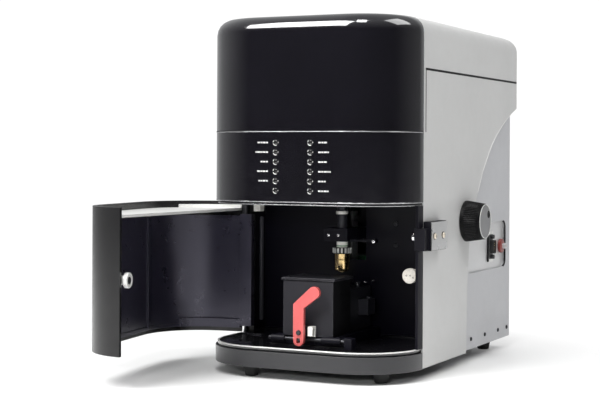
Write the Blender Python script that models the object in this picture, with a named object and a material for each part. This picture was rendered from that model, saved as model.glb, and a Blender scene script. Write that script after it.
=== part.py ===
"""Bench-top optical particle analyser with an open, swung-out front door.

Lengths in the named constants are millimetres; every mesh is written in metres.
Local axes: X to the right, Y to the back (front face at Y = 0), Z up from the bench.
"""
import math

import bmesh
import bpy
from mathutils import Vector

MM = 0.001
GAP = 0.3

# ---------------------------------------------------------------- overall size
HALF_W = 125.0
DEPTH = 400.0
HEIGHT = 400.0
CORNER_R = 71.0
TOP_FILLET = 18.0
WALL = 3.0
FRONT_Y = 72.0

# ------------------------------------------------------------------- levels
BASE_Z0 = 12.0
BASE_Z1 = 30.0
FLOOR_Z = 34.5
TRAY_Z = 33.3
CEILING_Z0 = 191.6
LIP_Z = 195.3
SPLIT_Z = 272.3
HOOD_SIDE_Z = 342.2

# ------------------------------------------------------------------ covers
COVER_T = 2.1
CHASSIS_X = 122.6
CHASSIS_T = 2.0
CHASSIS_Y0 = 170.0
CHASSIS_Y1 = 380.0
CHASSIS_Z0 = 14.5
SWOOSH = (
    (211.5, 12.5), (213.0, 60.0), (214.5, 93.0), (220.5, 142.0), (229.0, 165.0),
    (239.0, 184.0), (250.0, 202.0), (258.0, 213.0), (267.0, 226.0), (282.0, 241.5),
    (302.0, 260.5), (320.0, 272.5), (338.0, 283.0), (358.0, 293.0), (378.0, 301.0),
    (400.0, 308.5),
)

# -------------------------------------------------------------------- door
HINGE = (-116.5, 106.0)
DOOR_OPEN_DEG = 82.0
DOOR_Z0 = 35.0
DOOR_Z1 = 191.0
DOOR_T = 4.6
DOOR_LEFT_Y = 116.0
DOOR_RIGHT_Y = 58.5
WEB_Z0 = 180.0
WEB_Z1 = 183.0
LINER_Z0 = 40.0
LINER_Z1 = 174.0
LINER_T = 2.0
STILE_X1 = -111.0
STILE_Y0 = 101.5
PIN_R = 2.6
CATCH_C = (111.5, 114.3)
LINER_RIGHT_Y = 44.0

# ------------------------------------------------------------- compartment
ROOM_X = 120.6
ROOM_T = 1.9
ROOM_Y = 165.0
JAMB_Y0 = 59.5
SLOT_HALF = 15.0

# ------------------------------------------------------------ indicator lamps
LAMP_Z = 259.9
LAMP_PITCH = 10.5
LAMP_R = 3.3

# ----------------------------------------------------------- door interlock
LOCK_X = 134.0
LOCK_Z0 = 142.0
LOCK_Z1 = 167.0
LOCK_ARM_X = 118.6
LOCK_ARM_Y = 61.5
SENSOR_C = (67.4, 157.3)

# ------------------------------------------------------------------- optics
AXIS_Y = 130.0
SHAFT_Y = 209.0
SHAFT_Z = 169.3
SHAFT_R = 4.0
KNOB_LEN = 24.3
WHEEL_C = (-32.0, 130.0)
WHEEL_Z = 300.0

# ------------------------------------------------------------------- module
MODULE_X = 31.0
MODULE_Y0 = 40.0
MODULE_Y1 = 86.0
MODULE_Z1 = 106.4
SLED_Z0 = 34.9
SLED_Z1 = 44.6
LEVER_Y = 24.0
LEVER_T = 4.6
RIVET = (-3.4, 50.0)
ROD_Y = 36.0
ROD_Z = 41.6
ROD_R = 2.0
GUIDE_R = 3.8
GUIDES = ((-42.5, -26.0), (19.6, 42.8))

# -------------------------------------------------------------------- rear
FAN_C = (-58.0, 150.0)
INLET_C = (66.0, 66.0)
ROCKER_C = (66.0, 98.0)
ROCKER_TILT = 8.0
USB_C = (66.0, 132.0)
POCKET = (218.0, 363.0, 105.5, 164.0)
POCKET_X = 119.6
DSUB_C = (312.0, 133.0)
COAX_C = (349.5, 132.0)

# ------------------------------------------------- whole-object placement
ORIGIN = Vector((31.93, -130.67, 0.0))


# ============================================================== mesh helpers
def clear_scene():
    for obj in list(bpy.data.objects):
        bpy.data.objects.remove(obj, do_unlink=True)


def material(name, colour, metallic, roughness):
    mat = bpy.data.materials.new(name)
    mat.use_nodes = True
    shader = mat.node_tree.nodes["Principled BSDF"]
    shader.inputs["Base Color"].default_value = (*colour, 1.0)
    shader.inputs["Metallic"].default_value = metallic
    shader.inputs["Roughness"].default_value = roughness
    mat.diffuse_color = (*colour, 1.0)
    return mat


def arc(cx, cy, r, a0, a1, n):
    """Points on an arc from a0 to a1 degrees, both ends included."""
    out = []
    for i in range(n + 1):
        a = math.radians(a0 + (a1 - a0) * i / n)
        out.append((cx + r * math.cos(a), cy + r * math.sin(a)))
    return out


def circle(cx, cy, r, n, start=0.0):
    return arc(cx, cy, r, start, start + 360.0, n)[:-1]


def rounded(x0, x1, y0, y1, r, n=4):
    """Rounded rectangle, counter-clockwise."""
    pts = arc(x1 - r, y0 + r, r, -90.0, 0.0, n)
    pts += arc(x1 - r, y1 - r, r, 0.0, 90.0, n)
    pts += arc(x0 + r, y1 - r, r, 90.0, 180.0, n)
    pts += arc(x0 + r, y0 + r, r, 180.0, 270.0, n)
    return pts


def place(axis, u, v, w):
    """Map plane coordinates (u, v) at height w along an axis to XYZ."""
    if axis == "X":
        return (w, u, v)
    if axis == "Y":
        return (u, w, v)
    return (u, v, w)


def prism(points, lo, hi, axis="Z"):
    """Closed solid made by sweeping a polygon along an axis."""
    n = len(points)
    verts = [place(axis, u, v, lo) for u, v in points]
    verts += [place(axis, u, v, hi) for u, v in points]
    faces = [tuple(range(n)), tuple(range(2 * n - 1, n - 1, -1))]
    for i in range(n):
        j = (i + 1) % n
        faces.append((i, n + i, n + j, j))
    return verts, faces


def block(x0, x1, y0, y1, z0, z1):
    return prism([(x0, y0), (x1, y0), (x1, y1), (x0, y1)], z0, z1)


def turned(profile, centre, axis="Z", segs=24, closed=False):
    """Solid of revolution from (radius, height) points along an axis.

    An open profile starts and ends on the axis (radius 0); a closed one is a ring.
    """
    verts = []
    rings = []
    for r, w in profile:
        if r <= 0.0:
            verts.append(place(axis, centre[0], centre[1], w))
            rings.append([len(verts) - 1])
            continue
        start = len(verts)
        for u, v in circle(centre[0], centre[1], r, segs):
            verts.append(place(axis, u, v, w))
        rings.append(list(range(start, start + segs)))
    pairs = list(zip(rings[:-1], rings[1:]))
    if closed:
        pairs.append((rings[-1], rings[0]))
    faces = []
    for low, high in pairs:
        for i in range(segs):
            j = (i + 1) % segs
            if len(low) == 1:
                faces.append((low[0], high[j], high[i]))
            elif len(high) == 1:
                faces.append((low[i], low[j], high[0]))
            else:
                faces.append((low[i], low[j], high[j], high[i]))
    return verts, faces


def rod(centre, r, lo, hi, axis="Z", segs=24):
    return prism(circle(centre[0], centre[1], r, segs), lo, hi, axis)


def solid(name, geometry):
    """New object from a (verts, faces) pair given in millimetres."""
    verts, faces = geometry
    mesh = bpy.data.meshes.new(name)
    mesh.from_pydata([Vector(v) * MM for v in verts], [], faces)
    bm = bmesh.new()
    bm.from_mesh(mesh)
    bmesh.ops.recalc_face_normals(bm, faces=bm.faces)
    bm.to_mesh(mesh)
    bm.free()
    obj = bpy.data.objects.new(name, mesh)
    bpy.context.collection.objects.link(obj)
    return obj


def boolean(obj, tool, operation):
    """Apply one exact Boolean and drop the tool object."""
    mod = obj.modifiers.new(operation.lower(), "BOOLEAN")
    mod.operation = operation
    mod.solver = "EXACT"
    mod.object = tool
    graph = bpy.context.evaluated_depsgraph_get()
    mesh = bpy.data.meshes.new_from_object(obj.evaluated_get(graph))
    obj.modifiers.clear()
    old = obj.data
    obj.data = mesh
    mesh.name = old.name
    bpy.data.meshes.remove(old)
    bpy.data.objects.remove(tool, do_unlink=True)


def cut(obj, *shapes):
    for shape in shapes:
        boolean(obj, solid("cutter", shape), "DIFFERENCE")
    return obj


def fuse(obj, *shapes):
    for shape in shapes:
        boolean(obj, solid("adder", shape), "UNION")
    return obj


def keep(obj, shape):
    boolean(obj, solid("keeper", shape), "INTERSECT")
    return obj


def bevel_loop(obj, width, steps, test):
    """Round the edges whose two ends both pass the test (in millimetres)."""
    bm = bmesh.new()
    bm.from_mesh(obj.data)
    chosen = [e for e in bm.edges if all(test(v.co / MM) for v in e.verts)]
    bmesh.ops.bevel(
        bm,
        geom=chosen,
        offset=width * MM,
        offset_type="OFFSET",
        segments=steps,
        profile=0.5,
        affect="EDGES",
        clamp_overlap=False,
    )
    bm.to_mesh(obj.data)
    bm.free()
    return obj


def finish(obj, mat, parent, origin=(0.0, 0.0, 0.0), sharp=32.0):
    """Give a solid its material, smooth shading, parent and own origin."""
    start = Vector(origin) * MM
    for vert in obj.data.vertices:
        vert.co -= start
    obj.data.materials.clear()
    obj.data.materials.append(mat)
    for poly in obj.data.polygons:
        poly.use_smooth = True
        poly.material_index = 0
    obj.data.set_sharp_from_angle(angle=math.radians(sharp))
    obj.parent = parent
    obj.location = start
    return obj


def empty(name, location, parent):
    node = bpy.data.objects.new(name, None)
    bpy.context.collection.objects.link(node)
    node.location = Vector(location) * MM
    node.parent = parent
    return node


# ============================================================= plan outlines
def body_outline(inset, y_back, n=10):
    """Plan of the body: two rounded front corners, square back."""
    r = CORNER_R - inset
    left = arc(-HALF_W + CORNER_R, CORNER_R, r, 180.0, 270.0, n)
    right = arc(HALF_W - CORNER_R, CORNER_R, r, 270.0, 360.0, n)
    return left + right + [(HALF_W - inset, y_back), (-HALF_W + inset, y_back)]


def door_path(inset, left_y, right_y, n=12):
    """Open curve along the closed door, from its hinge side to its free edge."""
    r = CORNER_R - inset
    pts = [(-HALF_W + inset, left_y)]
    pts += arc(-HALF_W + CORNER_R, CORNER_R, r, 180.0, 270.0, n)
    last = math.degrees(math.asin((CORNER_R - right_y) / r))
    pts += arc(HALF_W - CORNER_R, CORNER_R, r, 270.0, 360.0 - last, n)
    return pts


def corner_path(inset, left_y, last, n=8):
    """Open curve on the hinge side only, ending part-way round the corner."""
    r = CORNER_R - inset
    return [(-HALF_W + inset, left_y)] + arc(-HALF_W + CORNER_R, CORNER_R, r, 180.0, last, n)


def band(outer, inner):
    return outer + inner[::-1]


# ==================================================================== body
def build_base(mats, root):
    tray = solid("base_tray", prism(body_outline(0.0, FRONT_Y - GAP), BASE_Z0, BASE_Z1))
    rear = block(-CHASSIS_X, CHASSIS_X, 60.0, CHASSIS_Y0 - GAP, BASE_Z0, BASE_Z1)
    neck = prism(body_outline(7.0, CHASSIS_Y0 - 3.0), BASE_Z0 + 8.0, FLOOR_Z - 2.0)
    rim = prism(body_outline(2.6, CHASSIS_Y0 - 3.0), FLOOR_Z - 2.9, FLOOR_Z)
    fuse(tray, rear, neck, rim)
    cut(tray, prism(body_outline(5.0, CHASSIS_Y0 - 12.0), TRAY_Z, FLOOR_Z + 2.0))
    fuse(tray, block(-47.0, 47.0, 40.0, 156.0, TRAY_Z - 0.5, FLOOR_Z + 0.1))
    cut(tray, block(-70.0, 70.0, 34.0, 150.0, BASE_Z0 - 2.0, BASE_Z0 + 13.0))
    finish(tray, mats["grey_paint"], root)
    spots = {
        "front_left": (-60.0, 20.0),
        "front_right": (91.0, 36.0),
        "rear_left": (-100.0, 344.0),
        "rear_right": (100.0, 344.0),
    }
    for where, (x, y) in spots.items():
        top = BASE_Z0 - GAP
        if y > CHASSIS_Y0:
            top = CHASSIS_Z0 - GAP
        shape = turned([(0.0, 0.0), (6.6, 0.0), (7.4, 1.0), (9.6, top), (0.0, top)], (x, y), segs=20)
        finish(solid("foot_" + where, shape), mats["rubber"], root, (x, y, 0.0))


def build_hood(mats, root):
    outer = solid("hood", prism(body_outline(0.0, DEPTH), SPLIT_Z, HEIGHT))
    bevel_loop(outer, TOP_FILLET, 5, lambda c: c.z > HEIGHT - 1.0)
    inner = solid("hood_void", prism(body_outline(WALL, DEPTH - WALL), SPLIT_Z - 5.0, HEIGHT - WALL))
    bevel_loop(inner, TOP_FILLET - WALL, 5, lambda c: c.z > HEIGHT - WALL - 1.0)
    boolean(outer, inner, "DIFFERENCE")
    front = outer
    rear = bpy.data.objects.new("hood_rear_cover", outer.data.copy())
    bpy.context.collection.objects.link(rear)
    front.name = "hood_front_cap"
    side = HALF_W + 5.0
    keep(front, block(-side, side, -5.0, FRONT_Y - GAP / 2, SPLIT_Z - 1.0, HEIGHT + 5.0))
    keep(rear, block(-side, side, FRONT_Y + GAP / 2, DEPTH + 5.0, HOOD_SIDE_Z, HEIGHT + 5.0))
    finish(front, mats["black_gloss"], root)
    finish(rear, mats["grey_paint"], root)


def side_cover(name, sign, mats, root):
    edge = list(SWOOSH[:-1]) + [(DEPTH, SWOOSH[-1][1])]
    pts = [(FRONT_Y + GAP / 2, BASE_Z0 + 0.5)] + edge
    pts += [(DEPTH, HOOD_SIDE_Z - GAP), (FRONT_Y + GAP / 2, HOOD_SIDE_Z - GAP)]
    low = sign * (HALF_W - COVER_T)
    high = sign * HALF_W
    cover = solid(name, prism(pts, min(low, high), max(low, high), "X"))
    if sign > 0:
        cut(cover, rod((SHAFT_Y, SHAFT_Z), 6.0, 115.0, 130.0, "X"))
    else:
        cut(cover, block(-130.0, -118.0, 60.0, DOOR_LEFT_Y + 3.0, 31.5, LIP_Z - GAP))
    finish(cover, mats["grey_paint"], root)


def build_chassis(mats, root):
    x0 = CHASSIS_X - CHASSIS_T
    y1 = CHASSIS_Y1 - CHASSIS_T
    path = [
        (-CHASSIS_X, CHASSIS_Y0), (-CHASSIS_X, CHASSIS_Y1), (CHASSIS_X, CHASSIS_Y1),
        (CHASSIS_X, CHASSIS_Y0), (x0, CHASSIS_Y0), (x0, y1), (-x0, y1), (-x0, CHASSIS_Y0),
    ]
    body = solid("rear_chassis", prism(path, CHASSIS_Z0, HOOD_SIDE_Z - 2.0))
    fuse(body, block(-CHASSIS_X + 0.5, CHASSIS_X - 0.5, CHASSIS_Y0, CHASSIS_Y1 - 0.5, CHASSIS_Z0, CHASSIS_Z0 + 2.0))
    for x in (-22.0, 19.0):
        fuse(body, block(x, x + 3.0, SHAFT_Y - 8.0, SHAFT_Y + 8.0, CHASSIS_Z0 + 1.0, SHAFT_Z + 9.0))
    cut(body, rod((SHAFT_Y, SHAFT_Z), SHAFT_R + GAP, -30.0, 130.0, "X"))
    u0, u1, v0, v1 = POCKET
    cut(body, prism(rounded(u0, u1, v0, v1, 12.0), 115.0, 130.0, "X"))
    cut(body, rod(FAN_C, 29.0, CHASSIS_Y1 - 10.0, CHASSIS_Y1 + 5.0, "Y", 32))
    for (x, z), (w, h) in ((INLET_C, (14.3, 10.8)), (ROCKER_C, (14.3, 9.8)), (USB_C, (8.3, 8.3))):
        cut(body, block(x - w, x + w, CHASSIS_Y1 - 10.0, CHASSIS_Y1 + 5.0, z - h, z + h))
    finish(body, mats["grey_chassis"], root)
    cowl = solid("rear_cowl", block(-CHASSIS_X, CHASSIS_X, 397.0, DEPTH, 309.0, HOOD_SIDE_Z - GAP))
    fuse(cowl, block(-CHASSIS_X, CHASSIS_X, CHASSIS_Y1 + GAP, 398.0, 309.0, 311.5))
    finish(cowl, mats["grey_paint"], root)


def build_indicator_panel(mats, root):
    path = body_outline(0.0, FRONT_Y - GAP / 2)
    inner = body_outline(4.0, FRONT_Y - GAP / 2)
    shape = path[:-2] + [path[-2], inner[-2]] + inner[:-2][::-1] + [inner[-1], path[-1]]
    panel = solid("indicator_panel", prism(shape, LIP_Z, SPLIT_Z - GAP))
    columns = {"status_light_strip": -20.4, "filter_light_strip": 21.8}
    for name, x in columns.items():
        strip = solid(name, block(x - 5.5, x + 5.5, 4.3, 7.0, 202.5, 265.0))
        for i in range(6):
            z = LAMP_Z - LAMP_PITCH * i
            cut(panel, rod((x, z), LAMP_R + GAP, -2.0, 6.0, "Y", 18))
            fuse(strip, rod((x, z), LAMP_R, 0.8, 5.0, "Y", 16))
        finish(strip, mats["lens_clear"], root)
    finish(panel, mats["black_gloss"], root)


def build_compartment(mats, root):
    outer = ROOM_X + ROOM_T
    back = ROOM_Y + ROOM_T
    start = math.degrees(math.asin((JAMB_Y0 - CORNER_R) / CORNER_R))
    jamb = arc(HALF_W - CORNER_R, CORNER_R, CORNER_R, start, -1.0, 3)
    path = [(-outer, 120.0), (-outer, back), (outer, back), (outer, FRONT_Y - 0.4)]
    path += [(jamb[-1][0], FRONT_Y - 0.4)] + jamb[::-1]
    path += [(ROOM_X, JAMB_Y0 + 1.0), (ROOM_X, ROOM_Y), (-ROOM_X, ROOM_Y), (-ROOM_X, 120.0)]
    liner = solid("compartment_liner", prism(path, FLOOR_Z + GAP, CEILING_Z0 - GAP))
    cut(liner, block(-SLOT_HALF, SLOT_HALF, ROOM_Y - 4.0, back + 4.0, 122.0, 186.0))
    cut(liner, block(ROOM_X - 2.0, HALF_W + 2.0, 50.0, FRONT_Y + 1.0, LOCK_Z0 - GAP, LOCK_Z1 + GAP))
    finish(liner, mats["black_satin"], root)
    top = solid("compartment_ceiling", prism(body_outline(3.0, back), CEILING_Z0, LIP_Z - GAP))
    cut(top, rod((0.0, AXIS_Y), 16.0, CEILING_Z0 - 3.0, LIP_Z + 3.0, "Z", 28))
    finish(top, mats["black_satin"], root)


# ==================================================================== door
def build_door(mats, root):
    pivot = empty("door_pivot", (HINGE[0], HINGE[1], 0.0), root)
    pivot.rotation_euler = (0.0, 0.0, math.radians(-DOOR_OPEN_DEG))
    origin = (HINGE[0], HINGE[1], 0.0)

    def add(obj, mat):
        finish(obj, mats[mat], pivot, origin)
        obj.location = (0.0, 0.0, 0.0)

    outer = door_path(0.0, DOOR_LEFT_Y, DOOR_RIGHT_Y)
    inner = door_path(DOOR_T, DOOR_LEFT_Y, DOOR_RIGHT_Y)
    add(solid("door_shell", prism(band(outer, inner), DOOR_Z0, DOOR_Z1)), "black_gloss")

    face_a = door_path(DOOR_T + GAP, STILE_Y0 - 1.0, LINER_RIGHT_Y)
    face_b = door_path(DOOR_T + GAP + LINER_T, STILE_Y0 - 1.0, LINER_RIGHT_Y)
    liner = solid("door_liner", prism(band(face_a, face_b), LINER_Z0, LINER_Z1))
    rib = door_path(DOOR_T + GAP + LINER_T + 1.4, STILE_Y0 - 1.0, LINER_RIGHT_Y)
    fuse(liner, prism(band(face_a, rib), LINER_Z0, LINER_Z0 + 4.0))
    fuse(liner, block(-60.0, -54.6, 5.6, 9.4, LINER_Z0 + 1.0, LINER_Z1 - 1.0))
    low_a = corner_path(DOOR_T + GAP, STILE_Y0 - 1.0, 222.0)
    low_b = corner_path(DOOR_T + GAP + LINER_T + 4.0, STILE_Y0 - 1.0, 222.0)
    fuse(liner, prism(band(low_a, low_b), LINER_Z0 + 0.2, LINER_Z0 + 10.5))
    top_a = corner_path(DOOR_T + GAP, STILE_Y0 - 1.0, 206.0)
    top_b = corner_path(DOOR_T + GAP + LINER_T + 2.0, STILE_Y0 - 1.0, 206.0)
    fuse(liner, prism(band(top_a, top_b), LINER_Z1 - 5.0, LINER_Z1 - 0.2))
    add(liner, "black_satin")

    web = door_path(DOOR_T + GAP, STILE_Y0 - 1.0, 58.0)
    plate = solid("door_top_web", prism(web, WEB_Z0, WEB_Z1))
    lip_a = corner_path(DOOR_T + GAP, STILE_Y0 - 1.0, 223.0)
    lip_b = corner_path(DOOR_T + GAP + 2.0, STILE_Y0 - 1.0, 223.0)
    fuse(plate, prism(band(lip_a, lip_b), WEB_Z1 - 0.5, WEB_Z1 + 3.8))
    add(plate, "black_gloss")

    x0 = -HALF_W + DOOR_T + GAP
    stile = solid("door_stile", block(x0 + 0.0, STILE_X1, STILE_Y0, DOOR_LEFT_Y, 43.0, 176.0))
    for z in (43.0, 176.0):
        cut(stile, rod(HINGE, PIN_R + GAP, z - 14.0, z + 14.0, "Z", 20))
    add(stile, "black_satin")

    magnet = solid("door_magnet", turned(
        [(0.0, 50.2), (5.0, 50.2), (5.0, 59.8), (8.2, 59.8), (8.2, 63.6), (7.6, 64.2), (4.6, 64.2),
         (4.2, 62.4), (0.0, 62.4)],
        CATCH_C, "Y", 24))
    x, z = CATCH_C
    fuse(magnet, block(x - 6.0, 115.0, 46.2, 51.0, z - 5.0, z + 5.0))
    add(magnet, "chrome")


def build_hinge_blocks(mats, root):
    x, y = HINGE
    low = solid("hinge_pin_lower", block(x - 2.0, -92.0, y - 4.0, y + 4.0, TRAY_Z + GAP, 34.7))
    fuse(low, rod(HINGE, 3.2, TRAY_Z + GAP, 42.6, "Z", 20), rod(HINGE, PIN_R, 40.0, 55.0, "Z", 20))
    finish(low, mats["chrome"], root)
    high = solid("hinge_pin_upper", rod(HINGE, 3.4, 176.4, CEILING_Z0 - GAP, "Z", 20))
    fuse(high, rod(HINGE, PIN_R, 164.0, 178.0, "Z", 20))
    finish(high, mats["chrome"], root)
    switch = solid("door_switch", block(-102.0, -93.5, 100.5, 110.5, 179.6, CEILING_Z0 - GAP))
    cut(switch, block(-98.0, -97.2, 99.0, 101.3, 177.0, 184.5))
    finish(switch, mats["white_plastic"], root)


def build_catch(mats, root):
    x, z = CATCH_C
    disc = solid("catch_disc", turned(
        [(0.0, 64.8), (7.9, 64.8), (8.4, 65.3), (8.4, 70.0), (5.0, 70.0), (5.0, 74.0), (0.0, 74.0)],
        CATCH_C, "Y", 28))
    fuse(disc, block(x - 6.0, ROOM_X - GAP, 72.5, 75.5, z - 7.0, z + 7.0))
    finish(disc, mats["chrome"], root)


def build_interlock(mats, root):
    x0 = HALF_W + GAP
    house = solid("interlock_housing", block(x0, LOCK_X, FRONT_Y, 119.0, LOCK_Z0, 174.0))
    fuse(house, block(LOCK_ARM_X, 131.0, LOCK_ARM_Y, FRONT_Y - GAP, LOCK_Z0 + GAP, LOCK_Z1 - GAP))
    fuse(house, block(x0, 131.0, LOCK_ARM_Y + 2.0, FRONT_Y + 4.0, LOCK_Z0 + GAP, LOCK_Z1 - GAP))
    cut(house, rod(SENSOR_C, 3.3, LOCK_ARM_X - 1.0, LOCK_ARM_X + 6.0, "X", 16))
    finish(house, mats["black_satin"], root)
    plate = solid("interlock_cover_plate", block(LOCK_X + GAP, LOCK_X + 1.3, 72.5, 119.0, 142.5, 173.5))
    finish(plate, mats["brushed_steel"], root)
    for name, y in (("front", 80.0), ("rear", 106.0)):
        shape = turned([(0.0, 135.6), (3.2, 135.6), (3.2, 136.6), (2.0, 137.5), (0.0, 137.5)], (y, 158.0), "X", 16)
        finish(solid("interlock_screw_" + name, shape), mats["steel"], root)
    sensor = solid("interlock_sensor", rod(SENSOR_C, 6.0, LOCK_ARM_X - 3.0, LOCK_ARM_X - GAP, "X", 24))
    fuse(sensor, rod(SENSOR_C, 3.0, LOCK_ARM_X - 1.0, LOCK_ARM_X + 5.5, "X", 16))
    finish(sensor, mats["chrome"], root, (LOCK_ARM_X, *SENSOR_C))


# =================================================================== optics
def build_focus(mats, root):
    x0 = HALF_W + GAP
    x1 = x0 + KNOB_LEN
    knob = solid("focus_knob", turned(
        [(0.0, x0), (24.0, x0), (24.3, x0 + 2.0), (22.6, x1 - 1.6), (21.2, x1), (0.0, x1)],
        (SHAFT_Y, SHAFT_Z), "X", 40))
    cut(knob, turned([(0.0, x1 - 3.2), (3.4, x1 - 2.6), (5.2, x1 + 1.0), (0.0, x1 + 1.0)],
                     (SHAFT_Y + 11.5, SHAFT_Z + 8.0), "X", 18))
    finish(knob, mats["grey_plastic"], root, (x0, SHAFT_Y, SHAFT_Z))
    shaft = solid("focus_shaft", rod((SHAFT_Y, SHAFT_Z), SHAFT_R, -26.0, x0 - GAP, "X", 28))
    finish(shaft, mats["steel"], root, (x0, SHAFT_Y, SHAFT_Z))

    origin = (0.0, AXIS_Y, 150.0)
    slide = solid("focus_carriage", block(-10.0, 10.0, 143.3, 200.0, 147.0, 160.0))
    fuse(slide, block(-8.0, 8.0, 198.0, SHAFT_Y - SHAFT_R - GAP, 146.0, 192.0))
    finish(slide, mats["aluminium"], root, origin)
    mount = solid("objective_mount", block(-18.0, 12.0, 118.0, 143.0, 146.0, 161.0))
    fuse(mount, block(10.0, 41.0, 127.0, 130.5, 146.0, 148.4))
    fuse(mount, rod((42.7, 147.2), 3.0, 124.0, 131.0, "Y", 16))
    finish(mount, mats["black_satin"], root, origin)
    tube = solid("objective_tube", turned(
        [(0.0, 161.3), (6.2, 161.3), (6.2, 176.4), (7.0, 177.0), (7.0, 181.6), (6.2, 182.2), (6.2, 198.0), (0.0, 198.0)],
        (0.0, AXIS_Y), segs=24))
    finish(tube, mats["anodised"], root, origin)
    ring = solid("objective_ring", turned(
        [(0.0, 131.6), (10.6, 131.6), (11.2, 132.2), (11.2, 138.0), (10.6, 138.6), (6.8, 138.8),
         (6.6, 145.2), (6.2, 145.7), (0.0, 145.7)],
        (0.0, AXIS_Y), segs=32))
    finish(ring, mats["chrome"], root, origin)
    barrel = solid("objective_barrel", turned(
        [(0.0, 109.4), (3.6, 109.4), (4.2, 110.6), (7.6, 114.4), (9.1, 118.0), (9.1, 131.3), (0.0, 131.3)],
        (0.0, AXIS_Y), segs=28))
    finish(barrel, mats["brass"], root, origin)


def build_camera_column(mats, root):
    tube = solid("tube_lens", turned(
        [(9.0, 195.3), (34.0, 195.3), (34.0, 199.0), (15.0, 199.0), (13.0, 214.0), (13.0, 296.0), (9.0, 296.0)],
        (0.0, AXIS_Y), segs=24, closed=True))
    fuse(tube, block(-50.0, 40.0, 178.0, 184.0, 195.3, 376.0))
    fuse(tube, block(-30.0, 30.0, 158.0, 180.0, 195.3, 200.0))
    fuse(tube, block(-52.0, -20.0, 112.0, 180.0, 255.0, 260.0))
    finish(tube, mats["anodised"], root)
    wheel = solid("filter_wheel", rod(WHEEL_C, 46.0, WHEEL_Z, WHEEL_Z + 6.0, "Z", 48))
    for i in range(6):
        a = math.radians(60.0 * i)
        spot = (WHEEL_C[0] + 32.0 * math.cos(a), WHEEL_C[1] + 32.0 * math.sin(a))
        cut(wheel, rod(spot, 9.0, WHEEL_Z - 2.0, WHEEL_Z + 8.0, "Z", 20))
    fuse(wheel, rod(WHEEL_C, 6.0, WHEEL_Z - 3.0, WHEEL_Z + 8.0, "Z", 20))
    finish(wheel, mats["anodised"], root, (*WHEEL_C, WHEEL_Z))
    motor = solid("filter_motor", rod(WHEEL_C, 13.0, 260.3, 296.7, "Z", 28))
    finish(motor, mats["steel"], root)
    camera = solid("camera", block(-26.0, 26.0, 104.0, 177.7, 312.0, 372.0))
    fuse(camera, rod((0.0, AXIS_Y), 10.0, 306.6, 314.0, "Z", 24))
    finish(camera, mats["aluminium"], root)
    board = solid("control_board", block(-112.0, -4.0, 250.0, 251.6, 40.0, 120.0))
    fuse(board, block(-90.0, -60.0, 247.5, 250.5, 70.0, 95.0), block(-40.0, -20.0, 244.0, 250.5, 90.0, 110.0))
    fuse(board, block(-112.0, -104.0, 250.0, 256.0, CHASSIS_Z0 + 2.3, 42.0))
    fuse(board, block(-12.0, -4.0, 250.0, 256.0, CHASSIS_Z0 + 2.3, 42.0))
    finish(board, mats["board_green"], root)


# =================================================================== module
def build_module(mats, root):
    sled = solid("module_sled", block(-36.0, 36.0, 44.0, 158.0, SLED_Z0, SLED_Z1))
    fuse(sled, block(-46.0, 46.0, 42.0, 60.0, SLED_Z0, SLED_Z1 - 1.0))
    fuse(sled, block(-9.0, 3.0, 29.5, 46.0, 45.2, SLED_Z1 + 11.0))
    fuse(sled, block(-14.0, 8.0, 41.0, 50.0, SLED_Z0, SLED_Z1 + 0.8))
    cut(sled, rod(RIVET, 2.0 + GAP, 26.0, 35.5, "Y", 16))
    for x0, x1 in GUIDES:
        fuse(sled, rod((ROD_Y, ROD_Z), GUIDE_R, x0, x1, "X", 20))
        fuse(sled, block(x0 + 0.6, x1 - 0.6, ROD_Y, 43.0, ROD_Z - 3.0, ROD_Z + 1.8))
        cut(sled, rod((ROD_Y, ROD_Z), ROD_R + GAP, x0 - 2.0, x1 + 2.0, "X", 18))
    finish(sled, mats["black_satin"], root)
    x = MODULE_X
    house = solid("module_housing", block(-x, x, MODULE_Y0, MODULE_Y1, SLED_Z1 + GAP, MODULE_Z1))
    cut(house, block(-15.0, 9.0, MODULE_Y0 - 1.0, 51.0, SLED_Z1 - 1.0, SLED_Z1 + 12.0))
    bevel_loop(house, 0.8, 2, lambda c: abs(abs(c.x) - x) < 0.01 and c.y < MODULE_Y0 + 0.01)
    finish(house, mats["module_paint"], root)
    lid = solid("module_lid", block(-x - 1.3, x + 2.0, MODULE_Y0 - 1.3, MODULE_Y1 + 4.0, MODULE_Z1 + GAP, MODULE_Z1 + 2.9))
    finish(lid, mats["module_paint"], root)
    cell = solid("flow_cell_block", block(-26.0, 26.0, 92.0, 154.0, SLED_Z1 + GAP, 93.0))
    fuse(cell, block(24.0, 38.0, 120.0, 140.0, 62.0, 80.0))
    fuse(cell, rod((20.0, AXIS_Y), 3.4, 92.0, 99.4, "Z", 16), rod((-20.0, AXIS_Y), 3.4, 92.0, 99.4, "Z", 16))
    fuse(cell, rod((34.0, AXIS_Y), 3.0, 79.0, 82.6, "Z", 16))
    cut(cell, rod((0.0, AXIS_Y), 12.0, 90.0, 95.0, "Z", 28))
    finish(cell, mats["anodised"], root)
    window = solid("flow_cell_window", rod((0.0, AXIS_Y), 11.6, 90.3, 93.4, "Z", 28))
    finish(window, mats["window_glass"], root)


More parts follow.
